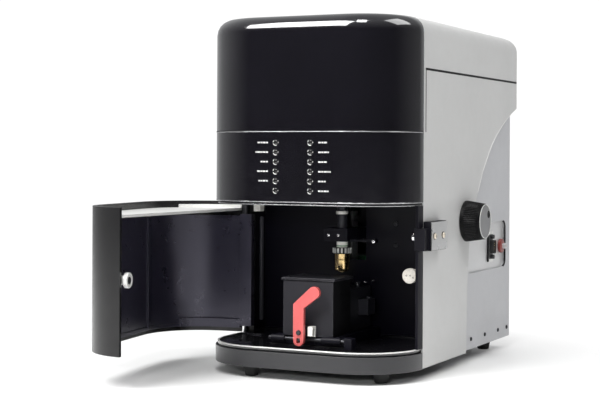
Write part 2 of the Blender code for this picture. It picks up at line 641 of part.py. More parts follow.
def build_lock(mats, root):
    rx, rz = RIVET
    tip = (14.9, 94.8)
    cap = arc(tip[0], tip[1], 6.8, 135.0, -45.0, 10)
    foot = arc(rx - 0.4, 41.5, 6.4, 180.0, 360.0, 8)
    pts = foot + [(rx + 6.0, 77.2)] + cap[::-1] + [(rx - 6.8, 81.4)]
    lever = solid("clamp_lever", prism(pts, LEVER_Y, LEVER_Y + LEVER_T, "Y"))
    cut(lever, rod(RIVET, 2.0 + GAP, LEVER_Y - 2.0, LEVER_Y + 8.0, "Y", 16))
    cut(lever, block(rx - 2.5, rx + 1.7, LEVER_Y - 2.0, LEVER_Y + 8.0, 38.2, 44.0))
    finish(lever, mats["red_plastic"], root, (rx, LEVER_Y, rz))
    rivet = solid("lever_rivet", turned(
        [(0.0, LEVER_Y - 1.6), (2.6, LEVER_Y - 1.6), (3.1, LEVER_Y - GAP), (2.0, LEVER_Y - GAP),
         (2.0, 35.2), (0.0, 35.2)], RIVET, "Y", 16))
    finish(rivet, mats["chrome"], root)
    bolt = solid("lock_rod", turned(
        [(0.0, -46.5), (1.4, -46.5), (ROD_R, -46.0), (ROD_R, 47.2), (1.2, 48.0), (0.0, 48.0)],
        (ROD_Y, ROD_Z), "X", 18))
    fuse(bolt, rod((rx - 0.4, ROD_Z), 1.4, LEVER_Y + 0.8, ROD_Y, "Y", 12))
    finish(bolt, mats["steel"], root, (rx, ROD_Y, ROD_Z))
    keeper = solid("lock_keeper", block(49.5, 58.0, 30.0, 42.0, TRAY_Z + GAP, 45.6))
    cut(keeper, rod((ROD_Y, ROD_Z), ROD_R + GAP, 47.0, 56.0, "X", 20))
    finish(keeper, mats["black_satin"], root)
    hook = solid("lever_stop", block(4.5, 10.5, 37.0, 40.6, SLED_Z1 + 0.0, 56.5))
    fuse(hook, block(4.5, 10.5, 30.5, 38.0, 53.5, 56.5), block(4.5, 10.5, 30.5, 33.0, 46.0, 56.0))
    cut(hook, block(0.0, 20.0, 39.7, 45.0, 40.0, 60.0))
    fuse(hook, block(5.0, 8.0, 38.0, 43.2, SLED_Z1 + 1.1, 49.0))
    finish(hook, mats["chrome"], root)


# ================================================================= services
def build_side_sockets(mats, root):
    u0, u1, v0, v1 = POCKET
    inner = CHASSIS_X - CHASSIS_T - GAP
    plate = solid("connector_plate", prism(rounded(u0 - 6.0, u1 + 5.0, v0 - 6.0, v1 + 6.0, 14.0), POCKET_X - 2.0, inner, "X"))
    cut(plate, prism(rounded(u0 + 1.0, u1 - 1.0, v0 + 1.0, v1 - 1.0, 11.0), POCKET_X, inner + 5.0, "X"))
    dy, dz = DSUB_C
    cut(plate, block(POCKET_X - 5.0, POCKET_X + 5.0, dy - 5.0, dy + 5.0, dz - 9.5, dz + 9.5))
    cut(plate, rod(COAX_C, 6.3, POCKET_X - 5.0, POCKET_X + 5.0, "X", 24))
    finish(plate, mats["pale_metal"], root)
    x0 = POCKET_X + GAP
    socket = solid("dsub_socket", prism(rounded(dy - 6.3, dy + 6.3, dz - 15.4, dz + 15.4, 2.0), x0, x0 + 1.2, "X"))
    fuse(socket, prism(rounded(dy - 4.2, dy + 4.2, dz - 8.4, dz + 8.4, 2.4), POCKET_X - 8.0, x0 + 6.4, "X"))
    for z in (dz - 12.5, dz + 12.5):
        fuse(socket, prism(circle(dy, z, 2.8, 6), x0 + 0.6, x0 + 5.4, "X"))
    cut(socket, prism(rounded(dy - 3.5, dy + 3.5, dz - 7.7, dz + 7.7, 1.8), x0 + 1.5, x0 + 8.0, "X"))
    finish(socket, mats["steel"], root)
    jack = solid("coax_jack", turned(
        [(0.0, POCKET_X - 8.0), (6.0, POCKET_X - 8.0), (6.0, x0), (8.8, x0), (8.8, x0 + 3.4), (6.0, x0 + 4.2),
         (3.0, x0 + 4.2), (3.0, x0 + 8.0), (0.0, x0 + 8.0)], COAX_C, "X", 24))
    finish(jack, mats["red_plastic"], root)


def build_rear(mats, root):
    cx, cz = FAN_C
    wall = CHASSIS_Y1 - CHASSIS_T
    frame = solid("fan_frame", prism(rounded(cx - 35.0, cx + 35.0, cz - 35.0, cz + 35.0, 5.0), wall - 20.3, wall - GAP, "Y"))
    cut(frame, rod(FAN_C, 31.5, wall - 17.0, wall + 3.0, "Y", 36))
    for i in range(4):
        a = math.radians(45.0 + 90.0 * i)
        spot = (cx + 18.5 * math.cos(a), cz + 18.5 * math.sin(a))
        cut(frame, rod(spot, 9.0, wall - 25.0, wall - 15.0, "Y", 16))
    finish(frame, mats["black_satin"], root)
    rotor = solid("fan_rotor", rod(FAN_C, 13.0, wall - 16.4, wall - 3.0, "Y", 28))
    for i in range(7):
        a = 360.0 * i / 7.0
        inner = arc(cx, cz, 11.0, a - 4.0, a + 4.0, 1)
        outer = arc(cx, cz, 29.6, a + 24.0, a + 16.0, 1)
        fuse(rotor, prism(inner + outer, wall - 14.0, wall - 4.0, "Y"))
    finish(rotor, mats["black_plastic"], root, (cx, wall - 10.0, cz))
    x, z = INLET_C
    inlet = solid("power_inlet", block(x - 16.5, x + 16.5, CHASSIS_Y1 + GAP, CHASSIS_Y1 + 2.6, z - 13.0, z + 44.2))
    fuse(inlet, block(x - 14.0, x + 14.0, CHASSIS_Y1 - 20.0, CHASSIS_Y1 + 1.0, z - 10.5, z + 10.5))
    fuse(inlet, block(x - 14.0, x + 14.0, CHASSIS_Y1 - 12.0, CHASSIS_Y1 + 1.0, z + 22.5, z + 41.5))
    cut(inlet, block(x - 11.5, x + 11.5, CHASSIS_Y1 - 15.0, CHASSIS_Y1 + 5.0, z - 7.5, z + 7.5))
    cut(inlet, block(x - 11.0, x + 11.0, CHASSIS_Y1 - 9.0, CHASSIS_Y1 + 5.0, z + 24.2, z + 39.8))
    finish(inlet, mats["black_plastic"], root)
    rx, rz = ROCKER_C
    y = CHASSIS_Y1
    half = [(5.5, 0.0), (7.3, 6.3), (2.0, 6.4), (-4.0, 3.0)]
    level = half + [(u, -v) for u, v in half[:0:-1]]
    c = math.cos(math.radians(ROCKER_TILT))
    k = math.sin(math.radians(ROCKER_TILT))
    side = [(y - 3.0 + u * c + v * k, rz + v * c - u * k) for u, v in level]
    rocker = solid("power_rocker", prism(side, rx - 10.6, rx + 10.6, "X"))
    finish(rocker, mats["black_plastic"], root, (rx, y - 3.0, rz))
    ux, uz = USB_C
    usb = solid("usb_socket", block(ux - 10.0, ux + 10.0, y + GAP, y + 1.5, uz - 10.0, uz + 10.0))
    fuse(usb, block(ux - 7.0, ux + 7.0, y - 14.0, y + 1.0, uz - 7.0, uz + 7.0))
    cut(usb, block(ux - 5.8, ux + 5.8, y - 10.0, y + 3.0, uz - 5.2, uz + 5.2))
    finish(usb, mats["steel"], root)


# ==================================================================== main
def build_materials():
    return {
        "grey_paint": material("grey_paint", (0.62, 0.62, 0.61), 0.0, 0.42),
        "grey_chassis": material("grey_chassis", (0.60, 0.60, 0.62), 0.0, 0.48),
        "black_gloss": material("black_gloss", (0.008, 0.008, 0.010), 0.0, 0.12),
        "black_satin": material("black_satin", (0.018, 0.017, 0.024), 0.0, 0.38),
        "module_paint": material("module_paint", (0.030, 0.029, 0.036), 0.0, 0.42),
        "black_plastic": material("black_plastic", (0.022, 0.022, 0.022), 0.0, 0.5),
        "grey_plastic": material("grey_plastic", (0.045, 0.045, 0.047), 0.0, 0.5),
        "window_glass": material("window_glass", (0.80, 0.84, 0.84), 0.0, 0.05),
        "white_plastic": material("white_plastic", (0.86, 0.85, 0.82), 0.0, 0.4),
        "red_plastic": material("red_plastic", (0.78, 0.07, 0.06), 0.0, 0.38),
        "rubber": material("rubber", (0.02, 0.02, 0.02), 0.0, 0.8),
        "chrome": material("chrome", (0.85, 0.85, 0.86), 1.0, 0.12),
        "steel": material("steel", (0.62, 0.62, 0.63), 1.0, 0.3),
        "brushed_steel": material("brushed_steel", (0.66, 0.66, 0.66), 1.0, 0.36),
        "aluminium": material("aluminium", (0.72, 0.72, 0.73), 1.0, 0.38),
        "anodised": material("anodised", (0.03, 0.03, 0.034), 0.6, 0.4),
        "pale_metal": material("pale_metal", (0.70, 0.70, 0.70), 0.7, 0.4),
        "brass": material("brass", (0.80, 0.52, 0.20), 1.0, 0.24),
        "lens_clear": material("lens_clear", (0.42, 0.46, 0.44), 0.0, 0.15),
        "board_green": material("board_green", (0.03, 0.20, 0.09), 0.0, 0.45),
    }


def main():
    clear_scene()
    mats = build_materials()
    root = empty("analyser_root", ORIGIN, None)
    build_base(mats, root)
    build_hood(mats, root)
    side_cover("side_cover_right", 1.0, mats, root)
    side_cover("side_cover_left", -1.0, mats, root)
    build_chassis(mats, root)
    build_indicator_panel(mats, root)
    build_compartment(mats, root)
    build_door(mats, root)
    build_hinge_blocks(mats, root)
    build_catch(mats, root)
    build_interlock(mats, root)
    build_focus(mats, root)
    build_camera_column(mats, root)
    build_module(mats, root)
    build_lock(mats, root)
    build_side_sockets(mats, root)
    build_rear(mats, root)
    bpy.context.view_layer.update()


main()
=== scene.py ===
"""Looks for the bench-top optical particle analyser: materials, fine pieces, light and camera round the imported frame.

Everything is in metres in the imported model's frame. Places come from the boxes of the CAD nodes.
"""
import math

import bmesh
import bpy
from mathutils import Matrix, Vector


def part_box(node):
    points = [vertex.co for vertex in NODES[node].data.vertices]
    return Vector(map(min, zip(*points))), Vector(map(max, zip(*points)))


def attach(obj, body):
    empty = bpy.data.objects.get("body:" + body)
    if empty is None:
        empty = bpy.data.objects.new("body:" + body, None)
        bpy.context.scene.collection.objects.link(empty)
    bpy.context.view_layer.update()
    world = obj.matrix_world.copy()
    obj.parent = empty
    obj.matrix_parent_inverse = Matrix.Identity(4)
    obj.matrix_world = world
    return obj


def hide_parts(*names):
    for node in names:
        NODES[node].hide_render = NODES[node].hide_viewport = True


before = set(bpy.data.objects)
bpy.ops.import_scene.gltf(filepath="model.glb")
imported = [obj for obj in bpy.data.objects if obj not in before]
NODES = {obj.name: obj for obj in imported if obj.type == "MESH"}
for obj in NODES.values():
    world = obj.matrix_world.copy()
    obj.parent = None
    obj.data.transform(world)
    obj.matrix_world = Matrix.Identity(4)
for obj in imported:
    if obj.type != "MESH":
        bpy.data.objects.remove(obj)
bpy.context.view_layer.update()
MM = 0.001
SCENE = bpy.context.scene
BACKDROP_WHITE = 1.05  # brightness of the backdrop and of the faded floor, as the camera sees them
WEAR_REACH = 0.0011  # how far wear comes in from an edge
WELD_WITHIN = 0.000002  # CAD points closer than this become one
SHARP_ABOVE = math.radians(28)  # CAD edges sharper than this stay sharp
TRAY_BLACK_ABOVE = 0.0302  # the tray is grey up to this height and gloss black above it

# ------------------------------------------------------------------ materials
MATERIALS = {}


def node(tree, kind, **values):
    """A shader node with its plain properties set."""
    made = tree.nodes.new("ShaderNode" + kind)
    for key, value in values.items():
        setattr(made, key, value)
    return made


def noise(tree, coords, scale, detail=3.0, rough=0.55):
    """Fractal noise at a scale in cycles per metre."""
    made = node(tree, "TexNoise")
    made.inputs["Scale"].default_value = scale
    made.inputs["Detail"].default_value = detail
    made.inputs["Roughness"].default_value = rough
    tree.links.new(coords, made.inputs["Vector"])
    return made.outputs["Fac"]


def ranged(tree, value, low, high, start=0.3, stop=0.7):
    """Maps a noise value onto a range."""
    made = node(tree, "MapRange")
    made.inputs["From Min"].default_value = start
    made.inputs["From Max"].default_value = stop
    made.inputs["To Min"].default_value = low
    made.inputs["To Max"].default_value = high
    tree.links.new(value, made.inputs["Value"])
    return made.outputs["Result"]


def maths(tree, operation, first, second):
    """A Math node; either side may be a number."""
    made = node(tree, "Math", operation=operation)
    for socket, value in zip(made.inputs, (first, second)):
        if isinstance(value, (int, float)):
            socket.default_value = value
        else:
            tree.links.new(value, socket)
    return made.outputs[0]


def blended(tree, factor, first, second):
    """Mixes two colours, each a socket or a tuple."""
    made = node(tree, "Mix", data_type="RGBA")
    tree.links.new(factor, made.inputs["Factor"])
    for socket, value in ((made.inputs[6], first), (made.inputs[7], second)):
        if isinstance(value, tuple):
            socket.default_value = (*value, 1.0)
        else:
            tree.links.new(value, socket)
    return made.outputs[2]


def surface(
    name, base, rough, metallic=0.0, tint=0.08, cloud=14.0, grain=900.0, bump=0.12,
    depth=0.00004, rough_swing=0.06, edge=0.0006, wear=0.0, wear_to=None, specular=0.5,
    coat=0.0, coat_rough=0.05, brushed=None, speckle=0.0, **sockets
):
    """A procedural finish: clouded colour, grain in the bump, broken roughness and worn, rounded edges."""
    material = bpy.data.materials.new(name)
    material.use_nodes = True
    tree = material.node_tree
    shader = tree.nodes["Principled BSDF"]
    shader.inputs["Metallic"].default_value = metallic
    shader.inputs["Specular IOR Level"].default_value = specular
    shader.inputs["Coat Weight"].default_value = coat
    shader.inputs["Coat Roughness"].default_value = coat_rough
    for key, value in sockets.items():
        shader.inputs[key.replace("_", " ").title().replace("Ior", "IOR")].default_value = value
    coords = node(tree, "TexCoord").outputs["Object"]
    grain_coords = coords
    if brushed:
        mapping = node(tree, "Mapping")
        mapping.inputs["Scale"].default_value = brushed
        tree.links.new(coords, mapping.inputs["Vector"])
        grain_coords = mapping.outputs["Vector"]
    clouds = noise(tree, coords, cloud, 4.0)
    fine = noise(tree, grain_coords, grain, 2.0, 0.6)
    smears = noise(tree, coords, cloud * 5.0, 5.0, 0.65)
    shade = maths(
        tree, "ADD",
        ranged(tree, clouds, 1.0 - tint, 1.0 + tint),
        ranged(tree, fine, -0.5 * tint - speckle, 0.5 * tint + speckle),
    )
    scaled = node(tree, "VectorMath", operation="SCALE")
    scaled.inputs[0].default_value = base
    tree.links.new(shade, scaled.inputs["Scale"])
    colour = scaled.outputs["Vector"]
    rounded = None
    if edge:
        bevel = node(tree, "Bevel", samples=3)
        bevel.inputs["Radius"].default_value = edge
        rounded = bevel.outputs["Normal"]
    if wear:
        wide = node(tree, "Bevel", samples=3)
        wide.inputs["Radius"].default_value = WEAR_REACH
        dot = node(tree, "VectorMath", operation="DOT_PRODUCT")
        tree.links.new(wide.outputs["Normal"], dot.inputs[0])
        tree.links.new(node(tree, "NewGeometry").outputs["Normal"], dot.inputs[1])
        rim = ranged(tree, dot.outputs["Value"], 1.0, 0.0, 0.86, 0.99)
        patchy = ranged(tree, smears, 0.15, 1.0, 0.4, 0.62)
        factor = maths(tree, "MULTIPLY", maths(tree, "MULTIPLY", rim, patchy), wear)
        colour = blended(tree, factor, colour, wear_to or tuple(min(1.0, c * 2.2 + 0.05) for c in base))
    tree.links.new(colour, shader.inputs["Base Color"])
    tree.links.new(
        ranged(tree, smears, max(0.02, rough - rough_swing), rough + rough_swing),
        shader.inputs["Roughness"],
    )
    bumped = node(tree, "Bump")
    bumped.inputs["Strength"].default_value = bump
    bumped.inputs["Distance"].default_value = depth
    tree.links.new(fine, bumped.inputs["Height"])
    if rounded:
        tree.links.new(rounded, bumped.inputs["Normal"])
    tree.links.new(bumped.outputs["Normal"], shader.inputs["Normal"])
    MATERIALS[name] = material
    return material


surface("grey_paint", (0.525, 0.525, 0.520), 0.42, tint=0.02, grain=1500, bump=0.16, wear=0.35,
        wear_to=(0.78, 0.78, 0.77), coat=0.08, coat_rough=0.3)
surface("grey_chassis", (0.455, 0.458, 0.475), 0.4, tint=0.025, grain=1500, bump=0.16, wear=0.35,
        wear_to=(0.76, 0.76, 0.77), coat=0.08, coat_rough=0.3)
surface("base_grey", (0.019, 0.019, 0.0215), 0.34, tint=0.03, grain=1400, bump=0.12, wear=0.3,
        wear_to=(0.3, 0.3, 0.3), coat=0.3, coat_rough=0.2)
surface("black_gloss", (0.0050, 0.0046, 0.0068), 0.12, tint=0.15, grain=260, bump=0.05, depth=0.00002,
        rough_swing=0.03, coat=1.0, coat_rough=0.04, coat_ior=1.6, wear=0.25, wear_to=(0.05, 0.05, 0.055))
surface("door_gloss", (0.0085, 0.0083, 0.0088), 0.22, specular=0.38, tint=0.12, grain=420, bump=0.06, depth=0.00003,
        rough_swing=0.04, wear=0.3, wear_to=(0.06, 0.06, 0.065))
surface("black_satin", (0.0036, 0.0032, 0.0068), 0.45, tint=0.14, grain=1100, bump=0.3, depth=0.00006, specular=0.22,
        wear=0.4, wear_to=(0.07, 0.07, 0.08), speckle=0.06)
surface("liner_satin", (0.0150, 0.0138, 0.0240), 0.31, specular_tint=(0.86, 0.84, 1.0, 1.0), tint=0.12,
        grain=750, bump=0.5, depth=0.00009, specular=0.9, wear=0.45, wear_to=(0.08, 0.08, 0.09), speckle=0.05)
surface("module_paint", (0.014, 0.0135, 0.0175), 0.5, specular=0.35, tint=0.08, grain=1300, bump=0.6, depth=0.00010,
        wear=0.7, wear_to=(0.24, 0.24, 0.26), speckle=0.16)
# black plastic: the real colour of the D-sub, the fan rotor and the power parts; on the objective's grip ring it is
# painted shade in the slots between the teeth
surface("black_plastic", (0.016, 0.016, 0.017), 0.45, tint=0.12, grain=1300, bump=0.25, wear=0.3)
surface("grey_plastic", (0.0020, 0.0020, 0.0024), 0.32, specular=0.14, tint=0.1, grain=1300, bump=0.2, wear=0.4,
        wear_to=(0.12, 0.12, 0.12))
surface("knob_face", (0.20, 0.20, 0.205), 0.35, metallic=0.35, tint=0.05, grain=1300, bump=0.1)
# white: the real colour of the door switch and the lever stop; on the objective's two collars it is a painted highlight
# for the shine of their chrome
surface("white_plastic", (0.88, 0.87, 0.82), 0.35, tint=0.03, grain=800, bump=0.1)
surface("red_plastic", (0.61, 0.100, 0.097), 0.33, tint=0.07, cloud=40, grain=800, bump=0.12, wear=0.8, edge=0.0011,
        wear_to=(0.95, 0.42, 0.40), coat=0.2, coat_rough=0.2, speckle=0.02)
surface("rubber", (0.014, 0.014, 0.014), 0.75, tint=0.15, grain=1800, bump=0.4, depth=0.0001)
surface("chrome", (0.84, 0.84, 0.85), 0.12, metallic=1.0, tint=0.04, grain=600, bump=0.04, rough_swing=0.05)
surface("steel", (0.58, 0.58, 0.59), 0.28, metallic=1.0, tint=0.08, grain=900, bump=0.12)
surface("brushed_steel", (0.64, 0.64, 0.64), 0.30, metallic=1.0, tint=0.08, grain=500, bump=0.3,
        brushed=(1.0, 0.06, 5.0))
surface("aluminium", (0.70, 0.70, 0.71), 0.32, metallic=1.0, tint=0.06, grain=900, bump=0.15)
surface("anodised", (0.022, 0.022, 0.028), 0.34, metallic=0.25, tint=0.12, grain=1200, bump=0.15, wear=0.4)
surface("brass", (0.95, 0.70, 0.34), 0.24, metallic=1.0, tint=0.08, grain=420, bump=0.2,
        brushed=(0.3, 0.3, 9.0), wear=0.3, wear_to=(0.95, 0.76, 0.45))
surface("pale_metal", (0.66, 0.66, 0.665), 0.36, metallic=0.55, tint=0.03, grain=1100, bump=0.15)
surface("board_green", (0.022, 0.15, 0.065), 0.35, tint=0.12, grain=500, bump=0.1)
surface("lamp_lens", (0.0035, 0.0035, 0.0040), 0.08, tint=0.1, grain=300, bump=0.03, coat=1.0, coat_rough=0.03)
surface("lens_clear", (0.16, 0.17, 0.17), 0.2, tint=0.1, grain=500, bump=0.05)
surface("print_white", (0.62, 0.62, 0.61), 0.5, tint=0.06, grain=1500, bump=0.1, edge=0.0)
surface("green_band", (0.10, 0.32, 0.12), 0.35, tint=0.08, grain=900, bump=0.1)
# dark metal: real screws, washers and the magnet's core; on the barrel's port and across the interlock screws' slots it
# is painted shade in a hollow
surface("dark_screw", (0.030, 0.030, 0.034), 0.35, metallic=0.6, tint=0.1, grain=700, bump=0.12, wear=0.3)
surface("pale_disc", (0.60, 0.57, 0.52), 0.55, metallic=0.3, tint=0.16, cloud=120, grain=900, bump=0.3)
# dark steel: the upper hinge pin and the lever's rivet; on the lock rod it is painted shade, where the rod shows
# through the lever's slot
surface("dark_rod", (0.05, 0.05, 0.055), 0.3, metallic=0.7, tint=0.1, grain=900, bump=0.1)
# bright metal for thin strips along the front's edges: a painted highlight where those edges catch the light
surface("edge_light", (0.42, 0.42, 0.43), 0.24, metallic=0.8, tint=0.2, cloud=30, grain=600, bump=0.05, edge=0.0)
# bright satin: the real metal of the D-sub flange, the door magnet and the grip teeth; a painted highlight on the tray
# rim, the swoosh edges, the lamp rims and the knob face ring, and a painted reflection on the door's top web
surface("bright_satin", (0.74, 0.74, 0.72), 0.34, metallic=0.35, tint=0.06, grain=900, bump=0.15, wear=0.3)
# a lighter grey for an upright strip on the compartment's left wall: a painted highlight
surface("wall_bead", (0.10, 0.098, 0.115), 0.35, tint=0.1, grain=700, bump=0.2)
# near-black: real gaskets, seams and lamp cups; on the knob's dimple, the module's right side and beside the D-sub it
# is painted shade
surface("gasket", (0.004, 0.004, 0.005), 0.6, specular=0.25, tint=0.15, grain=1200, bump=0.2, edge=0.0)
surface("deep_red", (0.20, 0.024, 0.018), 0.35, tint=0.08, cloud=60, grain=800, bump=0.1, coat=0.2, wear=0.3)
surface("screw_cream", (0.78, 0.70, 0.58), 0.3, metallic=0.5, tint=0.1, grain=700, bump=0.15)
surface("window_glass", (0.80, 0.84, 0.84), 0.04, tint=0.02, grain=300, bump=0.01, edge=0.0,
        rough_swing=0.02, transmission_weight=1.0, ior=1.46)
surface("floor_white", (0.86, 0.86, 0.855), 0.6, tint=0.008, cloud=1.5, grain=350, bump=0.03, edge=0.0)


def fade_floor(material, start, stop):
    """The floor turns to the white of the backdrop with distance from the unit, for the camera only."""
    tree = material.node_tree
    shader = tree.nodes["Principled BSDF"]
    out = tree.nodes["Material Output"]
    away = node(tree, "VectorMath", operation="LENGTH")
    tree.links.new(node(tree, "TexCoord").outputs["Object"], away.inputs[0])
    share = ranged(tree, away.outputs["Value"], 0.0, 1.0, start, stop)
    seen = maths(tree, "MULTIPLY", share, node(tree, "LightPath").outputs["Is Camera Ray"])
    white = node(tree, "Emission")
    white.inputs["Strength"].default_value = BACKDROP_WHITE
    mixed = node(tree, "MixShader")
    tree.links.new(seen, mixed.inputs[0])
    tree.links.new(shader.outputs[0], mixed.inputs[1])
    tree.links.new(white.outputs[0], mixed.inputs[2])
    tree.links.new(mixed.outputs[0], out.inputs["Surface"])


FADE_START, FADE_END = 0.22, 0.44  # distances from the floor's origin, which lies under the unit
fade_floor(MATERIALS["floor_white"], FADE_START, FADE_END)


def two_tone(name, low, high, level):
    """One finish below a height and another above it, as on a tray whose floor is a second colour."""
    material = low.copy()
    material.name = name
    tree = material.node_tree
    out = tree.nodes["Material Output"]
    first = tree.nodes["Principled BSDF"]
    split = node(tree, "SeparateXYZ")
    tree.links.new(node(tree, "TexCoord").outputs["Object"], split.inputs[0])
    over = maths(tree, "GREATER_THAN", split.outputs["Z"], level)
    second = node(tree, "BsdfPrincipled")
    for key, value in (("Metallic", 0.0), ("Coat Weight", 1.0), ("Coat Roughness", 0.06), ("Coat IOR", 1.6)):
        second.inputs[key].default_value = value
    for link in list(tree.links):
        if link.to_node == first and link.to_socket.name in ("Normal", "Roughness"):
            tree.links.new(link.from_socket, second.inputs[link.to_socket.name])
    fine = noise(tree, node(tree, "TexCoord").outputs["Object"], 900.0, 2.0)
    tree.links.new(
        blended(tree, ranged(tree, fine, 0.0, 1.0), tuple(c * 0.8 for c in high), tuple(c * 1.3 for c in high)),
        second.inputs["Base Color"],
    )
    mixed = node(tree, "MixShader")
    tree.links.new(over, mixed.inputs[0])
    tree.links.new(first.outputs[0], mixed.inputs[1])
    tree.links.new(second.outputs[0], mixed.inputs[2])
    tree.links.new(mixed.outputs[0], out.inputs["Surface"])
    MATERIALS[name] = material


two_tone("tray_two_tone", MATERIALS["base_grey"], (0.0050, 0.0048, 0.0062), TRAY_BLACK_ABOVE)

BY_NODE = {
    "grey_paint": ("hood_rear_cover", "side_cover_right", "side_cover_left", "rear_cowl"),
    "tray_two_tone": ("base_tray",),
    "grey_chassis": ("rear_chassis",),
    "rubber": ("foot_front_left", "foot_front_right", "foot_rear_left", "foot_rear_right"),
    "black_gloss": ("hood_front_cap", "indicator_panel"),
    # the door's top web takes the bright finish as a painted reflection of the light above it; the magnet's bright face
    # is its own
    "bright_satin": ("door_top_web", "door_magnet"),
    "door_gloss": ("door_shell",),
    "liner_satin": ("door_liner", "door_stile"),
    "black_satin": (
        "compartment_liner", "compartment_ceiling", "interlock_housing", "objective_mount",
        "module_sled", "lock_keeper", "fan_frame", "focus_carriage",
    ),
    "pale_disc": ("catch_disc",),
    # the lock rod is darkened as painted shade where it shows through the lever's slot
    "dark_rod": ("hinge_pin_upper", "lock_rod", "lever_rivet"),
    "lens_clear": ("status_light_strip", "filter_light_strip"),
    "window_glass": ("flow_cell_window",),
    "white_plastic": ("door_switch", "lever_stop"),
    "brushed_steel": ("interlock_cover_plate",),
    "chrome": ("hinge_pin_lower", "interlock_sensor", "objective_ring"),
    "steel": ("focus_shaft", "filter_motor", "usb_socket"),
    "grey_plastic": ("focus_knob",),
    "aluminium": ("camera",),
    "anodised": ("objective_tube", "tube_lens", "filter_wheel", "flow_cell_block"),
    "brass": ("objective_barrel",),
    "board_green": ("control_board",),
    "module_paint": ("module_housing", "module_lid"),
    "red_plastic": ("clamp_lever",),
    "deep_red": ("coax_jack",),
    "screw_cream": ("interlock_screw_front", "interlock_screw_rear"),
    "pale_metal": ("connector_plate",),
    "black_plastic": ("dsub_socket", "fan_rotor", "power_inlet", "power_rocker"),
}


def finish_cad(obj, material):
    """Gives a CAD node its finish, and shades its curves smooth up to a sharp edge."""
    obj.data.materials.clear()
    obj.data.materials.append(material)
    obj.data.polygons.foreach_set("use_smooth", [True] * len(obj.data.polygons))
    if "custom_normal" in obj.data.attributes:
        obj.data.attributes.remove(obj.data.attributes["custom_normal"])
    weld = obj.modifiers.new("weld", "WELD")
    weld.merge_threshold = WELD_WITHIN
    split = obj.modifiers.new("split", "EDGE_SPLIT")
    split.split_angle = SHARP_ABOVE


for finish, names in BY_NODE.items():
    for cad_name in names:
        finish_cad(NODES[cad_name], MATERIALS[finish])

# --------------------------------------------------------------- mesh helpers


def middle(name):
    """Centre of a CAD node's box."""
    lo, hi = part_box(name)
    return (lo + hi) / 2


def place(name, mesh, material, body, smooth=35.0):
    """Links a mesh as a piece that rides on a body."""
    piece = bpy.data.objects.new(name, mesh)
    SCENE.collection.objects.link(piece)
    mesh.materials.append(MATERIALS[material])
    mesh.polygons.foreach_set("use_smooth", [True] * len(mesh.polygons))
    mesh.set_sharp_from_angle(angle=math.radians(smooth))
    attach(piece, body)
    return piece


def built(name, shape):
    """A mesh from a bmesh, with its normals facing out."""
    bmesh.ops.recalc_face_normals(shape, faces=shape.faces)
    mesh = bpy.data.meshes.new(name)
    shape.to_mesh(mesh)
    shape.free()
    return mesh


AIM = {
    "-Y": Matrix.Rotation(math.radians(90), 4, "X"),
    "+Y": Matrix.Rotation(math.radians(-90), 4, "X"),
    "+X": Matrix.Rotation(math.radians(90), 4, "Y"),
    "-X": Matrix.Rotation(math.radians(-90), 4, "Y"),
    "+Z": Matrix.Identity(4),
}


def lathe_into(shape, profile, count, move, ribs=None):
    """Turns a profile of (radius, height) about Z. ribs(angle, radius, height) may change a radius."""
    rings = []
    for radius, height in profile:
        if radius < 1e-7:
            rings.append([shape.verts.new(move @ Vector((0, 0, height)))])
            continue
        ring = []
        for i in range(count):
            angle = 2 * math.pi * i / count
            r = ribs(angle, radius, height) if ribs else radius
            ring.append(shape.verts.new(move @ Vector((r * math.cos(angle), r * math.sin(angle), height))))
        rings.append(ring)
    closed = len(profile) > 2 and profile[0] == profile[-1]
    for a, b in zip(rings, rings[1:]):
        for i in range(count):
            j = (i + 1) % count
            quad = [a[i % len(a)], a[j % len(a)], b[j % len(b)], b[i % len(b)]]
            face = [v for k, v in enumerate(quad) if v not in quad[:k]]
            if len(face) > 2:
                shape.faces.new(face)
    if closed:
        bmesh.ops.remove_doubles(shape, verts=rings[0] + rings[-1], dist=1e-7)


def lathes(name, profile, places, material, body, count=32, ribs=None, smooth=35.0):
    """One piece made of the same turned shape at each (point, direction)."""
    shape = bmesh.new()
    for point, aim in places:
        lathe_into(shape, profile, count, Matrix.Translation(point) @ AIM[aim], ribs)
    return place(name, built(name, shape), material, body, smooth=smooth)


def block_into(shape, lo, hi, bevel=0.0003, steps=2):
    """A box with rounded edges between two corners."""
    size = Vector(hi) - Vector(lo)
    made = bmesh.ops.create_cube(shape, size=1.0)
    for v in made["verts"]:
        v.co = Vector(lo) + Vector(((v.co.x + 0.5) * size.x, (v.co.y + 0.5) * size.y, (v.co.z + 0.5) * size.z))
    edges = list({e for v in made["verts"] for e in v.link_edges})
    bmesh.ops.bevel(shape, geom=edges, offset=bevel, segments=steps, affect="EDGES", profile=0.6)


def blocks(name, corners, material, body, bevel=0.0003):
    """One piece made of rounded blocks."""
    shape = bmesh.new()
    for lo, hi in corners:
        block_into(shape, lo, hi, bevel)
    return place(name, built(name, shape), material, body)


